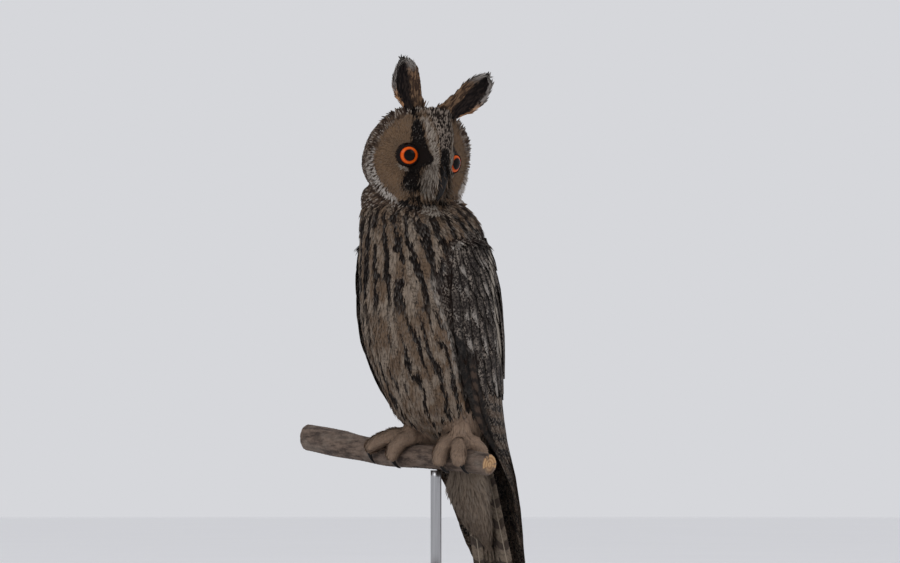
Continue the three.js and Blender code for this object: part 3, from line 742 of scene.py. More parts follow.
def grow(name, ground, grows, look, spacing, length, width, lift, stray, seed, slot, lie="lie"):
    """A coat piece over the ground, in millimetres and degrees, as one plain mesh."""
    coat = link(name, ground.data.copy())
    modifier = coat.modifiers.new("grow", "NODES")
    modifier.node_group = grow_coat
    values = {"Blade": small_feather, "Grows": "grows_" + grows, "Lie": lie, "Spacing": spacing * MM,
              "Length": length * MM,
              "Width": width * MM, "Lift": math.radians(lift), "Stray": math.radians(stray), "Seed": seed,
              "Look": look}
    for key, value in values.items():
        modifier[COAT_INPUTS[key]] = value
    evaluated(coat).data.name = name
    dress(coat, slot, None)
    print(f"{name}: {triangles(coat)} triangles")


# %% [markdown]
# ## What the plumage is painted with
# An owl's markings run along the lie of its feathers. The breast has broad dark streaks above and long thin ones
# below, the back and wings a fine grey scribble, and the face its own map of tan, black and frosted white. Where
# they change over the head and body the skin is given soft masks, and skin and feathers read the same ones.

# %% Soft masks over the head and body
ASIDE_X, ASIDE_Y = 0.766, 0.643  # across the body as the flank shows it, 40 degrees round from the front
WING_EDGE = [(11, 23.5), (33, 19.5), (55, 15.8), (67, 13.2), (85, 9.0), (107, 2.2), (128, -3), (145, 4), (160, 17),
             (172, 34)]


def bar(start, end, start_width, end_width):
    """A soft bar on either side of the face, from one place to another, given across and up."""
    distance, along = bar_distance(side_x, hz, start, end)
    return hump(distance, blend(start_width, end_width, along))


def most(*masks):
    return np.maximum.reduce(masks)


flank = ASIDE_X * np.abs(x) + ASIDE_Y * y - through(WING_EDGE)(height)
brow = most(bar((12.4, 30), (10.8, 22), 2.6, 3.6), bar((10.8, 22), (8.4, 8), 3.6, 2.6))
by_bill = np.where(cheek < 0, bar((7.6, 7), (7.0, -15), 2.6, 3.0), bar((7.4, 8), (9.5, -17), 3.0, 5.0))
under_eye = hump(eye_distance - 9.8, 0.8) * step(-eye_z, 5, 9) * step(eye_x * cheek, -8, -3)
black = most(
    0.46 * bar((17, 37), (15, 29), 3.8, 4.4), bar((14.5, 27), (14.5, 15), 3.6, 4.6),  # the wedge over the eye
    bar((14.5, 15), (15, 5), 4.6, 3.0), 0.66 * bar((14, -5.5), (14, -13), 5.0, 6.6),  # and the patch under it
    hump(eye_distance - 7.9, 0.65 + 0.8 * step(-eye_x * cheek, 1, 5)),
    0.55 * bar((9, -29), (17, -27), 4.0, 3.0), 0.5 * bar((3, -21), (13, -23), 4.0, 4.5),  # the chin
    0.8 * bar((1, 10), (2, 1), 3.4, 3.4)) * on_face
pale = most(brow, by_bill, chin * hump(hx, 6), under_eye) * on_face * (1 - 0.9 * black).clip(0, 1)
frost_from = blend(10, 24, step(hz, -20, 10))
masks = {
    "dark": black * (1 - 0.8 * brow * step(hz, 4, 10)),
    "pale": pale,
    "grey": on_face * hump(hx, blend(4.2, 12.5, step(hz, 0, 36))) * step(hz, -3, 6) * (1 - pale).clip(0, 1),
    "frost": ((on_face | on_head) * hump(disc - 0.91, blend(0.06, 0.035, step(hz, -14, 4)))
              * step(side_x, frost_from, 30) * blend(0.42, 1.0, step(-hz, -12, 8)) * step(hf, -8, 4)),
    "on_disc": on_face * (1 - step(disc, 0.86, 0.92)),
    "bold": step(height, 78, 130) * ~on_head,
    "warm": step(np.abs(turn), 0.7, 1.2) * step(height, 0, 60) * (1 - step(height, 130, 165)) * ~on_head,
    "buff": on_leg | on_foot,
    "fluff": step(-height, -4, 22) * ~on_foot * ~on_leg,
    "dusk": most(on_wing, step(flank, -0.6, 0.6) * step(height, 14, 24) * ~on_head),
    "flank_edge": hump(flank + 1.2, 1.5) * step(height, 50, 62) * (1 - step(height, 122, 134)) * ~on_head,
    "throat": step(height, 158, 172) * ~on_head,
    "plain": hump(turn, 0.42) * (1 - step(height, 96, 136)) * ~on_head,
    "head": on_head,
}
for name, mask in masks.items():
    keep(skin.data, name, np.clip(mask, 0, 1))
small = blend(0.5, 1, step(eye_distance, 9, 17)) * blend(0.75, 1, step(np.hypot(hx, hz + 10), 6, 24))
size = np.where(on_face, np.where(masks["grey"] > 0.4, 0.85, small), 1.0)
size = np.where(on_head & (hz > 24), blend(1.0, 1.3, step(hz, 24, 38)), size)
size *= np.where((coats["belly"] > 0) & (height < -30), blend(0.55, 1, step(height, -78, -30)), 1)
keep(skin.data, "coat_size", size)
print("masks:", ", ".join(masks))

# %% Colours
CREAM, BUFF, WARM = rgb(135, 121, 107), rgb(106, 88, 72), rgb(108, 80, 58)
TAN, UMBER, DARK = rgb(112, 90, 70), rgb(58, 44, 36), rgb(38, 29, 24)
SOOT, WHITE, GREY = rgb(18, 15, 14), rgb(186, 178, 170), rgb(124, 115, 107)
print("colours: 9 that several materials share")


# %% Paint that the body's skin and feathers share
def soft_normal(look, share):
    """A feather's own normal turned towards that of the skin under it, as downy feathers scatter light."""
    own = look.node("ShaderNodeNewGeometry", {}, out=1)
    skin_side = look.direction("skin_normal")
    same_side = look.node("ShaderNodeVectorMath", {"operation": "DOT_PRODUCT"}, own, skin_side, out=1).sum("SIGN")
    skin_side = look.node("ShaderNodeVectorMath", {"operation": "SCALE"}, skin_side, Scale=same_side)
    both = look.node("ShaderNodeMix", {"data_type": "VECTOR"}, out=1, at={0: share, 4: own, 5: skin_side})
    return look.node("ShaderNodeVectorMath", {"operation": "NORMALIZE"}, both)


FEATHER_ASIDE, FEATHER_HEIGHT, FEATHER_LEAN, FEATHER_HALF = 27.2, 55.5, 0.12, 3.1


def flank_shade(look, colour):
    """Painted shade, near black, in the hollow under the folded wing's front edge; weaker on the far wing, with one
    barred feather showing in it.
    """
    at = look.place()
    high = at.axis(2) * 1000.0 - PERCH_TOP
    aside = abs(at.axis(0)) * (1000 * ASIDE_X) + at.axis(1) * (1000 * ASIDE_Y)
    ragged = at.stretched(1.0, 1.0, 0.3).noise(420.0)
    inside_wing_edge = (66.6 - high) * 0.26 + 27.7 - aside
    # painted shade: near black over the hollow under the wing's front edge, ragged at its edge
    hollow_shade = (inside_wing_edge + ragged * 6.0 - 3.0).step(0.0, 2.0) * (94.3 - high - aside).step(-1.0, 1.0)
    hollow_shade = hollow_shade * high.step(-24.0, -4.0)
    # the painted shade is weaker on the far wing than on the near one
    near_side = at.axis(0).step(-0.01, 0.01) * 0.5 + 0.42
    from_shaft = abs(aside - FEATHER_ASIDE - (FEATHER_HEIGHT - high) * FEATHER_LEAN)
    feather = (FEATHER_HALF - from_shaft).step(0.0, 2.0) * high.step(-6.0, 0.0) * high.step(60.0, 54.0)
    bars = ((high + abs(aside - FEATHER_ASIDE) * 0.3 + ragged * 5.0) * 0.8).sine().step(-0.3, 0.9)
    return look.layers(colour,
                       (hollow_shade * near_side, look.mix(ragged.step(0.5, 0.7), rgb(12, 8, 6), rgb(42, 31, 25))),
                       (feather * hollow_shade * 0.9, look.mix(bars, rgb(74, 59, 49), rgb(34, 26, 22))))


def body_paint(look):
    """The colour of the body's coat at a point, on the skin and on the feathers alike."""
    mask = {name: look.attribute(name)
            for name in ("bold", "warm", "fluff", "dusk", "flank_edge", "buff", "throat", "plain")}
    at = look.place()
    high = at.axis(2)
    across = look.attribute("flow_across") + look.direction("blade").axis(1) * 0.001

    def streaks(apart, long, low, share=0.5, blotchy=3.4):
        """Above 0 in dark rows that run down the body, `apart` and `long` in metres."""
        cell = look.node("ShaderNodeCombineXYZ", {}, across * (1 / apart), high * (1 / long), 0.0)
        sway = at.stretched(1.0, 1.0, 0.25).noise(75.0)
        rows = (across * (2 * math.pi / apart) + sway * 12.0).sine()
        return (rows + (cell.noise(1.1) - share) * blotchy - low) / 0.35

    ragged = at.noise(520.0)
    patchy = at.stretched(1.0, 1.0, 0.4).noise(110.0)
    fine = at.stretched(1.0, 1.0, 0.25).noise(900.0)
    base = look.layers(look.mix(patchy.step(0.4, 0.6), CREAM, BUFF),
                       (mask["warm"] * patchy.step(0.4, 0.65) * 0.5, WARM),
                       (mask["fluff"] * 0.8, CREAM), (fine.step(0.45, 0.75) * 0.45, UMBER))
    thin, bold = streaks(0.0066, 0.05, mask["plain"] * 0.5 + 0.4, 0.47), streaks(0.0125, 0.018, 0.0, 0.48, 5.2)
    broad = (mask["bold"] + (patchy - 0.5) * 0.8).step(0.3, 0.7)
    ticks = ((high + ragged * 0.006) * 2300.0 + across * 700.0).sine().step(0.1, 0.8)
    ticks = ticks * (thin + bold * broad).step(-3.2, -0.4) * (1 - mask["fluff"]) * 0.5
    streak = look.mix(ragged.step(0.4, 0.75), SOOT, DARK)
    scribble = at.noise(620.0, 3.0, 0.6)
    cloud = at.stretched(1.0, 1.0, 0.6).noise(130.0)
    wing = look.layers(rgb(32, 24, 21), (scribble.step(0.47, 0.6) * cloud.step(0.4, 0.6), rgb(128, 117, 107)),
                       (cloud.step(0.6, 0.68) * scribble.step(0.3, 0.55), rgb(150, 143, 136)),
                       (streaks(0.011, 0.02, 0.7).step(0.0, 1.0), SOOT))
    legs = look.mix(fine.step(0.45, 0.7) * 0.35, rgb(146, 124, 106), rgb(104, 84, 70))
    # the dusk mask lays the wing's own mottled colour, and flank_shade adds painted shade under the wing's front
    # edge
    return look.layers(
        base, (ticks, DARK), (thin.step(0.0, 1.0) * (1 - broad) * (1 - mask["fluff"] * 0.9), streak),
        (bold.step(0.0, 1.0) * broad, streak), (mask["throat"] * ragged.step(0.42, 0.58) * 0.8, DARK),
        (mask["dusk"], flank_shade(look, wing)),
        (mask["flank_edge"] * fine.step(0.3, 0.6) * 0.9, rgb(158, 149, 140)),
        (mask["buff"], legs))


# %% The head's paint, and the coats' materials
def head_paint(look):
    """The colour of the head's coat, likewise."""
    mask = {m: look.attribute(m) for m in ("dark", "pale", "grey", "frost", "on_disc")}
    along, luck, at = look.direction("blade").axis(0), look.attribute("chance"), look.place()
    tan = look.layers(TAN, (at.noise(60.0).step(0.4, 0.65), rgb(100, 82, 66)), (luck.step(0.75, 1.0) * 0.3, UMBER),
                      (luck.step(0.16, 0.0) * 0.3, BUFF))
    crown = look.layers(rgb(58, 46, 39), (luck.step(0.4, 0.7), rgb(98, 81, 67)),
                        (at.noise(260.0).step(0.52, 0.62) * 0.8, DARK),
                        (luck.step(0.78, 0.86) * along.step(0.3, 0.8) * 0.7, rgb(160, 150, 140)))
    speckle = look.mix(luck.step(0.38, 0.55) * along.step(0.3, 0.7), rgb(30, 24, 21), rgb(136, 123, 112))
    frost = look.mix(luck.step(0.1, 0.45) * along.step(0.1, 0.5) * 0.9, rgb(66, 54, 46), WHITE)
    pale = look.layers(rgb(150, 140, 129), (luck.step(0.3, 0.9), rgb(104, 91, 80)),
                       (luck.step(0.7, 0.85) * 0.7, UMBER))
    black = look.mix(luck.step(0.93, 0.96) * along.step(0.4, 0.8) * 0.4, rgb(10, 8, 8), GREY)
    return look.layers(crown, (mask["on_disc"], tan), (mask["grey"].step(0.25, 0.6), speckle),
                       (mask["frost"].step(0.2, 0.8), frost), (mask["pale"].step(0.2, 0.6), pale),
                       ((mask["dark"] - luck * 0.25).step(0.12, 0.34), black))


def coat_look(name, paint, root_shade=0.4):
    look = Look(name, Roughness=0.95, Specular_IOR_Level=0.1)
    along, luck = look.direction("blade").axis(0), look.attribute("chance")
    colour = look.layers(paint(look), (luck * 0.2, DARK),
                         (along.step(0.55, 1.0) * luck.step(0.3, 1.0) * 0.15, WHITE),
                         (along.step(0.6, 0.1) * root_shade, DARK))
    return look.finish(colour, normal=soft_normal(look, 0.7))


skin_look = Look("skin", Roughness=0.95, Specular_IOR_Level=0.1)
under = skin_look.mix(skin_look.attribute("head"), body_paint(skin_look), head_paint(skin_look))
# the skin under the coat is darkened by 0.3 towards DARK, as painted shade deep among the feathers
skin_look.finish(skin_look.mix(0.3, under, DARK))
body_feathers, head_feathers = coat_look("body_feathers", body_paint), coat_look("head_feathers", head_paint)
leg_feathers = coat_look("leg_feathers", body_paint, 0.12)
print("paint:", len(body_feathers.node_tree.nodes), "nodes for the body,", len(head_feathers.node_tree.nodes),
      "for the head")

# %% Grow the coats
COATS = [  # name, where, look, spacing, length, width, lift and stray in degrees, slot
    ("breast_coat", "breast", body_feathers, 1.0, 11, 2.1, 9, 7, "torso"),
    ("belly_coat", "belly", body_feathers, 1.1, 13, 2.3, 10, 9, "torso"),
    ("back_coat", "back", body_feathers, 1.15, 11, 2.6, 8, 7, "torso"),
    ("mantle_coat", "mantle", body_feathers, 1.25, 10, 3.0, 7, 6, "wing"),
    ("face_coat", "face", head_feathers, 0.66, 4.3, 1.0, 13, 7, "head"),
    ("crown_coat", "crown", head_feathers, 0.8, 5.0, 1.25, 8, 7, "head"),
    ("leg_coat", "leg", leg_feathers, 0.85, 8, 1.7, 15, 9, "leg"),
    ("foot_coat", "foot", leg_feathers, 0.6, 3.8, 1.1, 15, 9, "leg"),
]
for seed, (name, where, look, *sizes, slot) in enumerate(COATS):
    grow(name, skin, where, look, *sizes, seed, slot)
grow("bristle_coat", skin, "bristle", head_feathers, 0.75, 12, 0.9, 32, 12, 21, "head", lie="lie_bristle")
dress(skin, "torso", skin_look.material, "torso", "neck", "head", "leg_left", "leg_right", "foot_left",
      "foot_right")

# %% [markdown]
# ## Wings and tail, feather by feather
# A flight feather is a stiff, slightly curved plate with a shaft. On a folded wing the feathers lie in tiers, each
# tier over the roots of the next one down, and inside a tier each front edge lies over the feather before it.
# They are too large and too regular to scatter, so loops lay them out from the same curves as the wing's sheet.

# %% A vane of many facets
ALONG, ACROSS = np.meshgrid([0, 0.15, 0.32, 0.5, 0.66, 0.8, 0.9, 0.96, 1.0], [-1, -0.6, -0.12, 0, 0.12, 0.6, 1.0],
                            indexing="ij")
LAYER = ALONG.size  # points on the vane's top; as many again lie on its underside
VANE_THICK = 0.5
grid = np.arange(LAYER).reshape(ALONG.shape)
rim = [*grid[0], *grid[1:, -1], *grid[-1, -2::-1], *grid[-2:0:-1, 0]]
vane_faces = []
for a, b, c, d in zip(*(corner.ravel() for corner in (grid[:-1, :-1], grid[:-1, 1:], grid[1:, 1:], grid[1:, :-1]))):
    vane_faces += [(a, b, c, d), (a + LAYER, d + LAYER, c + LAYER, b + LAYER)]
vane_faces += [(b, a, a + LAYER, b + LAYER) for a, b in zip(rim, rim[1:] + rim[:1])]


def vane(place, width, tip_round, kind, chance, share):
    """A vane's points and its numbers for the material; place(along, aside, out) gives points in millimetres."""
    taper = blend(0.55, 1, step(ALONG, 0, 0.3)) * (1 - step(ALONG, 1 - tip_round, 1.05) ** 2 * 0.95)
    ragged = 1 - 0.05 * (0.5 + 0.5 * np.sin(ALONG * 23 + chance * 40))
    aside = ACROSS * taper * ragged * width / 2
    plate = VANE_THICK * blend(1, 0.45, ALONG) * blend(1, 0.35, np.abs(ACROSS))
    shaft = 0.35 * hump(ACROSS, 0.06) * (1 - ALONG)
    camber = -0.06 * width * ACROSS**2 * blend(0.4, 1, ALONG)
    sheets = [place(ALONG, aside, camber + plate / 2 + shaft), place(ALONG, aside, camber - plate / 2)]
    return np.reshape(sheets, (-1, 3)), (kind, chance, share)


def vanes_piece(name, vanes, look, slot, node):
    """Joins vanes into one mesh, each with a cell of its own in the piece's map."""
    points, facts = zip(*vanes)
    first = 2 * LAYER * np.arange(len(vanes))[:, None, None]
    made = mesh_piece(name, in_world(np.vstack(points)), (first + vane_faces).reshape(-1, 4).tolist())
    blade = np.tile(vector(ALONG, ACROSS, 0).reshape(-1, 3), (2 * len(vanes), 1))
    keep(made.data, "blade", blade, "FLOAT_VECTOR")
    keep(made.data, "facts", np.repeat(facts, 2 * LAYER, axis=0), "FLOAT_VECTOR")
    corner = np.empty(len(made.data.loops), np.int32)
    made.data.loops.foreach_get("vertex_index", corner)
    cell, columns = corner // (2 * LAYER), math.ceil(math.sqrt(4 * len(vanes))) // 4 + 1
    u = (cell % columns + 0.5 + 0.45 * blade[corner, 1]) / columns
    v = (cell // columns + 0.02 + 0.96 * blade[corner, 0]) / (len(vanes) // columns + 1)
    made.data.uv_layers.new(name="OFBake").data.foreach_set("uv", np.stack([u, v], 1).astype(np.float32).ravel())
    dress(rounded(face_outwards(made, weld=False)), slot, look, node)
    print(f"{name}: {len(vanes)} vanes, {triangles(made)} triangles")


# %% The wings' tiers
rng = np.random.default_rng(7)
PRIMARY, SECONDARY, COVERT, SCAPULAR = 0.0, 1.0, 2.0, 3.0
WING_TIERS = [  # count, across from-to, root, tip, longer in the middle, width, lift at root, middle and tip, kind
    (10, 0.06, 0.62, 40, 44, -70, -104, 8, 11, (0.2, 0.6, 0.8), PRIMARY),
    (10, 0.5, 0.94, 46, 52, -96, -62, 6, 13, (0.8, 1.4, 1.8), SECONDARY),
    (9, 0.06, 0.9, 66, 70, -22, 4, 0, 15, (1.0, 2.4, 2.9), SECONDARY),
    (13, 0.03, 0.92, 84, 90, 30, 40, 0, 13, (1.2, 3.0, 3.7), COVERT),
    (14, 0.02, 0.92, 104, 110, 62, 70, 0, 12, (1.4, 3.2, 4.2), COVERT),
    (15, 0.02, 0.96, 122, 128, 86, 94, 0, 11, (1.6, 3.6, 4.6), COVERT),
    (15, 0.04, 0.97, 136, 143, 106, 114, 0, 11, (1.6, 3.8, 5.0), COVERT),
    (14, 0.1, 0.97, 146, 154, 124, 132, 0, 11, (1.4, 3.6, 5.2), COVERT),
    (9, 0.5, 0.97, 128, 140, 48, 62, 0, 14, (2.4, 4.8, 4.7), SCAPULAR),
    (8, 0.55, 0.98, 138, 146, 84, 96, 0, 13, (2.6, 5.3, 5.4), SCAPULAR),
]


def wing_vane(side, tier, i):
    count, start, end, root0, root1, tip0, tip1, longer, width, lifts, kind = tier
    s = i / (count - 1)
    share = blend(start, end, s)
    root = blend(root0, root1, s) + rng.uniform(-1.5, 1.5)
    tip = blend(tip0, tip1, s) - longer * math.sin(math.pi * s) + rng.uniform(-3.5, 3.5)
    front_low = blend(0.45, 1, float(step(share, 0, 0.35)))
    lift = through([(0, lifts[0] * front_low), (0.5, lifts[1] * front_low), (1, lifts[2] * front_low)])
    sway = rng.uniform(-0.6, 0.6)

    def place(t, aside, out):
        high = blend(root, tip, t)
        radius = np.sqrt(wing_wide(high) * wing_deep(high))
        arc = np.radians(wing_rear(high) - wing_front(high)) * radius
        slope = np.minimum(0.35, 1.0 / np.maximum((end - start) / (count - 1) * arc, 1e-3))
        angle = blend(wing_front(high), wing_rear(high), share) + np.degrees((aside + sway * t) / radius)
        return wing_point(side, high, np.minimum(angle, 179.3), lift(t) - slope * aside + out)

    return vane(place, width * rng.uniform(0.94, 1.06), 0.25 if kind == PRIMARY else 0.4, kind, rng.uniform(),
                share)


wings = {name: [wing_vane(side, tier, i) for tier in WING_TIERS for i in range(tier[0])]
         for name, side in SIDES.items()}
print("wing feathers:", {name: len(vanes) for name, vanes in wings.items()})

# %% The tail
TAIL_TIP, TAIL_HALF_WIDTH, TAIL_ROOT = -108.0, 20.0, 4.0


def tail_vane(pair, side):
    """Pair 0 is the single middle feather, over all the others."""
    width, tip = 13.5 - 0.4 * pair, TAIL_TIP + 1.4 * pair
    at_root = blend(3, 8, (pair - 1) / 4) if pair else 0
    at_tip = blend(6.0, TAIL_HALF_WIDTH - width / 2, (pair - 1) / 4) if pair else 0

    def place(t, aside, out):
        high = blend(TAIL_ROOT, tip, t)
        return vector(side * (blend(at_root, at_tip, t) + aside),
                      42 + 0.26 * (20 - high) + 1.25 * (2.5 - pair) + out, high)

    return vane(place, width, 0.16, PRIMARY, rng.uniform(), 0.5)


tail = [tail_vane(pair, side) for pair in range(6) for side in ((1, -1) if pair else (1,))]
print("tail feathers:", len(tail))

# %% The ear tufts
TUFT_LENGTH, TUFT_HALF = 38.0, 11.4
inner_edge = through([(0, 1.3), (0.2, 1.14), (0.45, 1.02), (0.6, 1.0), (0.8, 0.82), (0.93, 0.55), (0.985, 0.3),
                      (1, 0.04)])
outer_edge = through([(0, 0.1), (0.2, 0.3), (0.4, 0.72), (0.6, 0.92), (0.8, 0.8), (0.93, 0.53), (1, 0.04)])


def ear_leaf(name, side):
    """A cupped leaf with a rounded tip, which the tuft's own small feathers grow on."""
    root, along = np.array([side * 18, -8, 35.0]), np.array([side * 19.5, -9, TUFT_LENGTH])
    broad = unit(np.cross([0, 1, 0], along)) * side
    t, turn = np.broadcast_arrays(np.linspace(0, 1, 46)[:, None], circle(44))
    outer = np.cos(turn)

    def at(t):
        half = TUFT_HALF * np.where(outer > 0, outer_edge(t), inner_edge(t))
        thick = 0.9 * np.sin(turn) * blend(1.4, 0.6, t)
        cup = -4.2 * outer**2 * step(t, 0, 0.5) + 2.5 * np.sin(np.pi * t)
        return root + along * t[..., None] + (half * outer)[..., None] * broad + vector(0, cup + thick, 0)

    def with_ends(values):
        """The ring points' values, and their mean for the middle points of the two end fans."""
        flat = np.reshape(values, (t.size, -1))
        return np.vstack([flat, flat.mean(0), flat.mean(0)])

    leaf = tube_piece(name, from_head(at(t)))
    unwrap(leaf)
    lie = unit(unit(at(t + 0.02) - at(t)) + vector(side * outer * 0.16, 0, 0)) @ HEAD_AXES.T
    keep(leaf.data, "lie", with_ends(lie), "FLOAT_VECTOR")
    keep(leaf.data, "skin_normal", per_point(leaf.data, "normal"), "FLOAT_VECTOR")
    for what, values in (("outer", outer), ("up_tuft", t), ("grows_tuft", 1 + 0 * t),
                         ("coat_size", blend(1.1, 0.8, t))):
        keep(leaf.data, what, with_ends(values))
    return leaf


# %% [markdown]
# The wing's brown is broken by fine pale scribbles, the big feathers are barred across, and the coverts by the
# front edge end in a white spot. The tuft's feathers are black in the middle with a pale edge.

# %% Wing, tail and tuft looks
PALE_LINE_ASIDE, PALE_LINE_HEIGHT, PALE_LINE_LEAN, PALE_LINE_HALF = 0.0386, 0.282, 0.105, 0.0017


def flight_look(name):
    look = Look(name, Roughness=0.78, Specular_IOR_Level=0.25)
    blade, facts = look.direction("blade"), look.direction("facts")
    along, aside, across = blade.axis(0), blade.axis(1), abs(blade.axis(1))
    kind, luck, to_front = facts.axis(0), facts.axis(1), facts.axis(2)
    at = look.place()
    high = at.axis(2)
    scribble = at.noise(620.0, 3.0, 0.65)
    cloud = at.stretched(1.0, 1.0, 0.6).noise(130.0)
    covert = kind.step(1.4, 1.6)
    pale_here = scribble.step(0.45, 0.58) * (cloud.step(0.38, 0.6) * 0.75 + 0.25)
    centre = (0.42 + (cloud - 0.5) * 1.6 - across).step(0.0, 0.3) * along.step(0.15, 0.4) * along.step(0.98, 0.8)
    bars = (along * 44.0 + across * 1.4 + at.noise(240.0, 1.0) * 2.4 + luck * 6.0).sine()
    flight = look.layers(rgb(26, 20, 18), (bars.step(-0.1, 0.35), rgb(80, 66, 55)),
                         (scribble.step(0.48, 0.6) * 0.7, rgb(132, 120, 108)))
    spot = along.step(0.6, 0.8) * (-aside).step(0.0, 0.3) * covert * luck.step(0.6, 0.66)
    spot = spot * to_front.step(0.5, 0.35) * (cloud + scribble * 0.8).step(0.8, 0.95)
    beside = (abs(at.axis(0)) * ASIDE_X + at.axis(1) * ASIDE_Y - PALE_LINE_ASIDE
              - (PALE_LINE_HEIGHT - high) * PALE_LINE_LEAN)
    pale_line = (PALE_LINE_HALF + (scribble - 0.5) * 0.003 - abs(beside)).step(0.0, 0.0008)
    pale_line = pale_line * high.step(0.186, 0.2) * high.step(0.284, 0.276)
    pale_line = pale_line * at.axis(1).step(0.02, 0.014) * (cloud + 0.5).step(0.85, 0.98)
    colour = look.layers(rgb(28, 21, 18), (pale_here, rgb(132, 121, 111)), (centre * 0.6, SOOT),
                         ((1 - covert).clamp(), flight), (spot.clamp() * 0.85, rgb(158, 150, 142)),
                         (pale_line * 0.85, rgb(156, 146, 134)))
    # painted shade from flank_shade where the wing's feathers lie in the hollow under its front edge, then the dark
    # shaft
    colour = look.mix((0.07 - across).step(0.0, 0.04) * 0.3, flank_shade(look, colour), SOOT)
    barbs = (along * 260.0 + across * 60.0).sine()
    return look.finish(colour, bump=barbs * 0.5 + scribble * 0.4, depth=0.00012)


def tail_look(name):
    look = Look(name, Roughness=0.78)
    blade, luck, at = look.direction("blade"), look.direction("facts").axis(1), look.place()
    along, across = blade.axis(0), abs(blade.axis(1))
    bars = (along * 42.0 + across * 1.2 + at.noise(200.0, 1.0) * 2.0 + luck * 1.5).sine()
    colour = look.layers(rgb(150, 134, 116), (at.noise(520.0, 3.0).step(0.42, 0.62), rgb(120, 106, 92)),
                         (bars.step(0.1, 0.5) * 0.85, rgb(66, 54, 46)),
                         ((0.1 - across).step(0.0, 0.06), rgb(190, 176, 156)))
    return look.finish(colour, bump=(along * 260.0 + across * 60.0).sine(), depth=0.0001)


def tuft_look(name):
    look = Look(name, Roughness=0.95, Specular_IOR_Level=0.1)
    luck, ragged = look.attribute("chance"), look.place().noise(300.0) - 0.5
    outer, up = look.attribute("outer") + ragged * 0.5, look.attribute("up_tuft") + ragged * 0.2
    inner = look.mix(luck.step(0.3, 0.7), rgb(120, 95, 74), rgb(66, 51, 42))
    edge = look.mix(up.step(0.3, 0.6), rgb(176, 132, 96), rgb(140, 133, 128))
    fringe = up.step(0.62, 0.9) * (-outer).step(0.2, 0.7)
    colour = look.layers(rgb(24, 20, 20), (luck.step(0.4, 0.9) * 0.6, rgb(54, 45, 41)),
                         ((-outer).step(0.25, 0.5) * (1.1 - up).step(0.1, 0.4), inner),
                         (outer.step(0.7, 0.9) * 0.9, edge), (fringe * 0.8, rgb(158, 152, 146)))
    return look.finish(colour, normal=soft_normal(look, 0.5))


flight_feathers = flight_look("wing_feathers")
tail_paint, tuft_paint = tail_look("tail_feathers"), tuft_look("tuft")
for name, side in SIDES.items():
    vanes_piece("wing_feathers_" + name, wings[name], flight_feathers, "wing", "wing_" + name)
    ear = ear_leaf("ear_tuft_" + name, side)
    grow("tuft_coat_" + name, ear, "tuft", tuft_paint, 0.95, 7.5, 1.7, 10, 6, 30, "tuft")
    dress(ear, "tuft", tuft_paint, "tuft_" + name)
vanes_piece("tail_feathers", tail, tail_paint, "tail", "tail")
bpy.data.objects.remove(small_feather)

# %% [markdown]
# ## Eyes, lids, bill and claws
# The eye is a ball with a clear bulge in front, painted by how far each point is from the line of sight: a black
# pupil, an orange iris with fine rays and a darker rim. A ring of dark lid closes round it.

# %% Eyes and lids
LID_OPENING = (7.05, 6.75)  # half the gap between the lids, across and up
LID_PROFILE = [(0.0, 0.2), (0.0, 0.6), (0.12, 0.8), (0.45, 0.7), (1.0, -0.2), (1.0, -0.8), (0.4, 0.1)]
LID_EDGE = math.radians(50)


def eye_frame(side):
    """The eye's centre, and its axes across, along the sight, and up, in head coordinates."""
    sight = np.array([side * math.sin(EYE_SPLAY), -math.cos(EYE_SPLAY), 0])
    up = np.array([0, 0, 1.0])
    return np.array([side * EYE_SIDE, -EYE_FORWARD, EYE_UP]), np.cross(sight, up), sight, up


def eyeball(name, side):
    centre, across, sight, up = eye_frame(side)
    turn = circle(64)[:, None]
    flat = np.cos(turn) * across + np.sin(turn) * up
    rings = []
    for polar in np.radians([*np.linspace(0.6, 60, 40), *np.linspace(64, 176, 26)]):
        radius = EYE_RADIUS * (1 + 0.035 * (1 - step(polar, math.radians(20), math.radians(48))))
        rings.append(from_head(centre + radius * (math.cos(polar) * sight + math.sin(polar) * flat)))
    piece = rounded(tube_piece(name, rings))
    local = to_head(places(piece.data)) - centre
    keep(piece.data, "from_sight", np.degrees(np.arccos(np.clip(unit(local) @ sight, -1, 1))))
    keep(piece.data, "round_sight", np.arctan2(local @ up, local @ across))
    return piece


def lid_ring(name, side):
    """A closed ring: its cross-section, from the gap to the hidden edge, goes round as an oval."""
    centre, across, sight, up = eye_frame(side)
    turn = circle(72)
    flat = np.cos(turn)[:, None] * across + np.sin(turn)[:, None] * up
    gap_x, gap_y = (math.asin(half / (EYE_RADIUS + 0.8)) for half in LID_OPENING)
    rings = []
    for share, out in LID_PROFILE:
        polar_x = blend(gap_x, LID_EDGE, share)
        polar_y = blend(gap_y * np.where(np.sin(turn) > 0, 0.94, 1.0), LID_EDGE, share)
        polar = 1 / np.hypot(np.cos(turn) / polar_x, np.sin(turn) / polar_y)[:, None]
        radius = (EYE_RADIUS + out + 0.105 * np.sin(3 * turn + 0.5) * share)[:, None]
        rings.append(from_head(centre + radius * (np.cos(polar) * sight + np.sin(polar) * flat)))
    around_eye = [(j, (j + 1) % len(turn)) for j in range(len(turn))]
    sections = [(i * len(turn), (i + 1) % len(rings) * len(turn)) for i in range(len(rings))]
    faces = [(i + a, i + b, k + b, k + a) for i, k in sections for a, b in around_eye]
    lids = face_outwards(mesh_piece(name, np.vstack(rings), faces))
    soften = lids.modifiers.new("soften", "SUBSURF")
    soften.levels = soften.render_levels = 1
    return rounded(evaluated(lids))


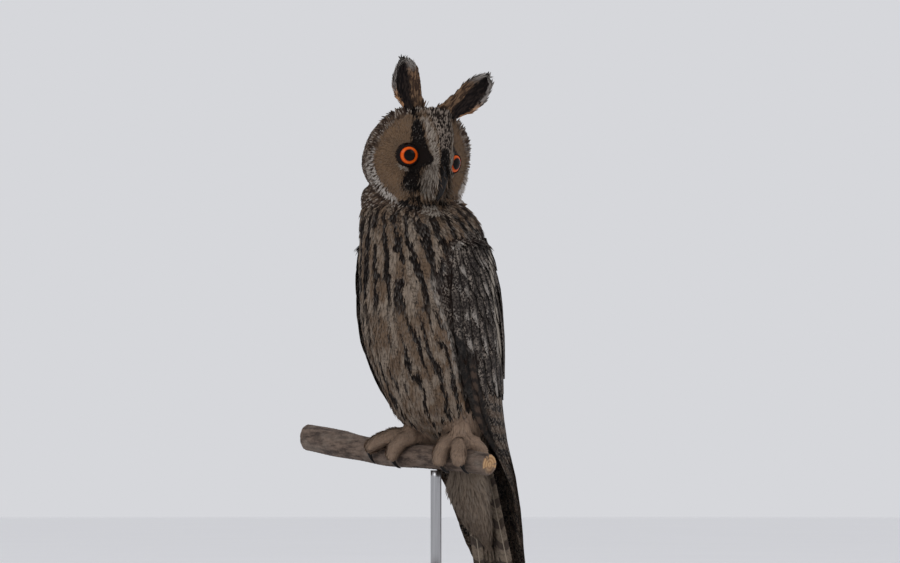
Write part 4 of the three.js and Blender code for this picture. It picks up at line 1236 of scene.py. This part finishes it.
PUPIL, IRIS_RIM = 23.0, 43.0  # degrees from the line of sight
eye_look = Look("eye", Roughness=0.08, Specular_IOR_Level=0.1)
polar, angle = eye_look.attribute("from_sight"), eye_look.attribute("round_sight")
rays = eye_look.node("ShaderNodeCombineXYZ", {}, angle * 7.0, polar * 0.02, 0.0).noise(3.0, 4.0, 0.7)
eye_look.finish(eye_look.layers(
    rgb(206, 70, 14), (rays.step(0.35, 0.65), rgb(232, 104, 26)),
    (polar.step(IRIS_RIM - 11, IRIS_RIM - 1), rgb(150, 34, 14)),
    (polar.step(PUPIL + 7, PUPIL) * 0.6, rgb(120, 30, 10)), (polar.step(PUPIL + 0.8, PUPIL - 0.4), rgb(6, 5, 5)),
    (polar.step(IRIS_RIM - 1, IRIS_RIM + 1), rgb(20, 12, 10))))
lid_look = Look("lids", Roughness=0.75, Specular_IOR_Level=0.15)
lid_noise = lid_look.place().noise(1200.0)
lid_look.finish(lid_look.mix(lid_noise, rgb(9, 7, 7), rgb(26, 20, 18)), bump=lid_noise, depth=0.0002)
for name, side in SIDES.items():
    dress(eyeball("eyeball_" + name, side), "eye", eye_look.material, "eye_" + name)
    dress(lid_ring("lids_" + name, side), "head", lid_look.material)
print("iris from", PUPIL, "to", IRIS_RIM, "degrees off the line of sight")

# %% [markdown]
# The bill is two tapering tubes along bent spines. The upper one is deep at the face, with a soft swelling round
# each nostril, and ends in a hook over the lower one.

# %% Bill
def bill_rings(spine, wide, deep, count):
    path = spline(spine, count)
    along = unit(np.gradient(path, axis=0))
    outward = unit(vector(0, -along[:, 2], along[:, 1]))
    outward *= np.where(outward[:, 1:2] > 0, -1, 1)
    turn = circle(28)[:, None]
    t = np.linspace(0, 1, count)[:, None, None]
    ridge = 1 + 0.1 * np.maximum(0, np.cos(turn)) ** 6
    return (path[:, None] + wide(t) * np.sin(turn) * np.array([1, 0, 0])
            + deep(t) * np.cos(turn) * ridge * outward[:, None])


upper = bill_rings([(0, -32, 2), (0, -37, -5), (0, -39.5, -14), (0, -37, -23.5)],
                   lambda t: blend(5.2, 0.5, t**1.6), lambda t: blend(5.5, 0.6, t**1.4), 40)
for side in SIDES.values():
    from_nostril = np.linalg.norm(upper - np.array([-side * 3.9, -38.6, -6.0]), axis=2)
    inwards = unit(np.array([0, -33.0, -8.0]) - upper)
    upper = upper + inwards * (1.5 * hump(from_nostril, 1.25) - 0.5 * hump(from_nostril - 2.4, 0.9))[..., None]
lower = bill_rings([(0, -26, -14), (0, -32, -17.5), (0, -34.5, -21.5)],
                   lambda t: blend(4.2, 0.9, t**1.6), lambda t: blend(3, 0.8, t), 20)
horn = Look("horn", Roughness=0.34, Specular_IOR_Level=0.18)
grain = horn.place().stretched(1.0, 1.0, 0.25).noise(900.0, 3.0)
horn.finish(horn.layers(rgb(14, 12, 12), (grain.step(0.35, 0.7), rgb(32, 28, 27)),
                        (horn.place().noise(160.0).step(0.55, 0.75) * 0.3, rgb(60, 53, 49))),
            roughness=0.26 + grain * 0.2, bump=grain, depth=0.00012)
for name, rings in (("upper", upper), ("lower", lower)):
    dress(rounded(tube_piece(name + "_bill", from_head(rings))), "bill", horn.material, "bill_" + name)
print("bill:", len(upper), "and", len(lower), "rings")

# %% Claws
for name, side in SIDES.items():
    for i, (along_perch, splay, start, end) in enumerate(TOES[name], 1):
        way = math.copysign(1, end)
        path = wrap_path(side * (LEG_SIDE + along_perch + splay), 0, end - way * 2, end + way * 62,
                         lambda t: blend(TOE_RADIUS - 0.4, 1.0, t), 26)
        t = np.linspace(0, 1, 26)
        radius = blend(2.1, 0.25, t**0.9) * np.sqrt(1 - 0.9 * step(t, 0.93, 1.02))
        claw = rounded(tube_piece(f"talon_{name}_{i}", in_world(path_rings(path, radius))))
        dress(claw, "claw", horn.material, f"claw_{name}_{i}")
print("claws: 8")

# %% [markdown]
# ## Perch and stand
# The perch is a cut length of branch: a bent tube whose bark has shallow ridges, pores and two old knots, with the
# pale rings of a saw cut at each end. The base and rod are turned on a lathe, so they are made from a profile.

# %% Perch
def perch_rings():
    turn = circle(72)
    at = np.linspace(*PERCH_ENDS, 260)[:, None]
    r = perch_radius(at) * (1 + 0.03 * np.sin(3 * turn + at / 15))
    ridges = 0.10 * np.sin(turn * 11 + 1.5 * np.sin(at / 9)) + 0.08 * np.sin(turn * 23 + at / 4)
    pores = 0.12 * np.sin(at * 2.1 + 3 * np.sin(turn * 2)) * np.sin(turn * 5 + at / 3)
    knots = (1.6 * hump(at + 92, 6) * hump(around(turn - 0.9), 0.5)
             + 1.2 * hump(at + 24, 5) * hump(around(turn + 2.2), 0.5))
    worn_end = -0.7 * (hump(at - PERCH_ENDS[0], 0.5) + hump(at - PERCH_ENDS[1], 0.5))
    r = r + ridges + pores + knots + worn_end - 0.25
    return perch_centre(at) + vector(r * math.sin(PERCH_SLOPE) * np.cos(turn), r * np.sin(turn), r * np.cos(turn))


perch = tube_piece("perch_bark", in_world(perch_rings()))
points = places(perch.data)
from_pith = np.linalg.norm((points - perch_centre(points[:, 0]))[:, 1:], axis=1)
at_end = (points[:, 0] < PERCH_ENDS[0] + 0.3) | (points[:, 0] > PERCH_ENDS[1] - 0.3)
keep(perch.data, "cut", at_end & (from_pith < 7.6))
keep(perch.data, "from_pith", from_pith * MM)
bark = Look("bark", Roughness=0.9)
grain = bark.place().stretched(0.3, 1.0, 1.0).noise(320.0, 5.0, 0.65)
blotch = bark.place().noise(55.0, 3.0)
year_rings = (bark.attribute("from_pith") * 2400.0 + grain * 3.0).sine()
wood = bark.mix(year_rings.step(-0.3, 0.6), rgb(186, 150, 108), rgb(156, 116, 78))
bark.finish(bark.layers(rgb(58, 46, 39), (grain.step(0.35, 0.65), rgb(112, 95, 83)),
                        (blotch.step(0.5, 0.7) * 0.5, rgb(128, 116, 105)),
                        (blotch.step(0.42, 0.3) * 0.5, rgb(52, 38, 31)), (bark.attribute("cut"), wood)),
            bump=grain + blotch * 0.5, depth=0.0008)
dress(perch, "perch", bark.material, "perch")
print("perch:", triangles(perch), "triangles")

# %% Stand
BASE_RADIUS, BASE_HEIGHT, ROD_RADIUS, ROD_TOP = 88.0, 12.0, 4.0, PERCH_TOP - 18.6


def turned(name, profile, sides):
    """A lathe-turned piece from its profile, [(radius, height), ...]."""
    turn = circle(sides)
    return tube_piece(name, np.array([vector(r * np.cos(turn), r * np.sin(turn), z) for r, z in profile]) * MM)


low_edge = [(BASE_RADIUS - 2 + 2 * math.sin(a), 2 - 2 * math.cos(a)) for a in np.linspace(0, math.pi / 2, 6)]
top_edge = [(BASE_RADIUS - 4 + 4 * math.cos(a), BASE_HEIGHT - 4 + 4 * math.sin(a))
            for a in np.linspace(0, math.pi / 2, 9)]
base = turned("display_base", [(20, 0), (60, 0), *low_edge, *top_edge, (60, BASE_HEIGHT), (20, BASE_HEIGHT)], 128)
rod = turned("display_rod", [(ROD_RADIUS, z) for z in (BASE_HEIGHT + 0.3, 60, 110, ROD_TOP)], 48)
stained = Look("stained_wood", Roughness=0.42, Coat_Weight=0.35, Coat_Roughness=0.2)
figure = stained.place().stretched(1.0, 9.0, 9.0).noise(14.0, 4.0, 0.6)
pores = stained.place().stretched(1.0, 16.0, 16.0).noise(90.0)
stained.finish(stained.layers(rgb(52, 34, 24), (figure.step(0.35, 0.65), rgb(88, 60, 42)),
                              (pores.step(0.6, 0.7) * 0.6, rgb(34, 22, 16))),
               roughness=0.36 + pores * 0.2, bump=pores, depth=0.0001)
steel = Look("brushed_steel", Metallic=1.0)
brushed = steel.place().stretched(1.0, 1.0, 0.02).noise(1500.0)
steel.finish(steel.mix(brushed, rgb(150, 150, 152), rgb(188, 188, 190)), roughness=0.24 + brushed * 0.14)
for piece, look, node in ((base, stained, "stand_base"), (rod, steel, "stand_rod")):
    for polygon in piece.data.polygons:
        polygon.use_smooth = len(polygon.vertices) == 4 and abs(polygon.normal.z) < 0.999
    dress(piece, node, look.material, node)
print("stand:", 2 * BASE_RADIUS, "mm base,", 2 * ROD_RADIUS, "mm rod")

# %% [markdown]
# ## The camera, the floor and the light
# The picture was taken from 40 degrees to the owl's left with a long lens, looking very slightly up. The floor is a
# wide pale disc, and the light is an overcast sky with one large soft lamp in front and one on the owl's left.

# %% Camera
IMAGE_WIDTH, IMAGE_HEIGHT = 900, 563
SCALE = 0.74  # millimetres to a pixel, at the owl
PERCH_PIXEL = (436, 445)  # where the top of the perch's middle is in the picture
SENSOR = 36
azimuth, elevation, distance = math.radians(40), math.radians(-3), 3.0
target = Vector((math.cos(azimuth), math.sin(azimuth), 0)) * (IMAGE_WIDTH / 2 - PERCH_PIXEL[0]) * SCALE * MM
target.z = (PERCH_TOP + (PERCH_PIXEL[1] - IMAGE_HEIGHT / 2) * SCALE) * MM
back = Vector((math.sin(azimuth) * math.cos(elevation), -math.cos(azimuth) * math.cos(elevation),
               math.sin(elevation)))
camera = link("camera", bpy.data.cameras.new("camera"))
camera.location = target + back * distance
camera.rotation_euler = (-back).to_track_quat("-Z", "Y").to_euler()
camera.data.sensor_width, camera.data.clip_end = SENSOR, 100
camera.data.lens = SENSOR * distance / (IMAGE_WIDTH * SCALE * MM)
bpy.context.scene.camera = camera
print("lens", round(camera.data.lens, 1), "camera height", round(camera.location.z, 3))

# %% Floor
FLOOR_RADIUS = 14
rim = circle(96)
floor = mesh_piece("floor", [*vector(np.cos(rim), np.sin(rim), 0) * FLOOR_RADIUS, (0, 0, 0)],
                   [(96, i, (i + 1) % 96) for i in range(96)])
pale_floor = Look("floor", Roughness=0.9)
floor.data.materials.append(pale_floor.finish(pale_floor.mix(pale_floor.place().noise(3.0), rgb(243, 243, 244),
                                                             rgb(247, 247, 248))))
print("floor:", 2 * FLOOR_RADIUS, "m across")

# %% Light
world = bpy.data.worlds.new("overcast")
world.use_nodes = True
sky = world.node_tree.nodes["Background"].inputs
sky[0].default_value, sky[1].default_value = (*rgb(214, 215, 219), 1), 1.0
bpy.context.scene.world = world
bpy.context.scene.view_settings.view_transform = "Standard"
LIT_POINT = Vector((0, 0, 0.28))
for name, place, size, watts in (("sky_front", (0.2, -1.9, 1.5), 1.3, 10), ("sky_left", (1.9, 0.2, 1.2), 1.2, 4)):
    lamp = link(name, bpy.data.lights.new(name, "AREA"))
    lamp.data.shape, lamp.data.size, lamp.data.energy = "DISK", size, watts
    lamp.location = place
    lamp.rotation_euler = (LIT_POINT - lamp.location).to_track_quat("-Z", "Y").to_euler()
print("light: an overcast sky and 2 soft lamps")
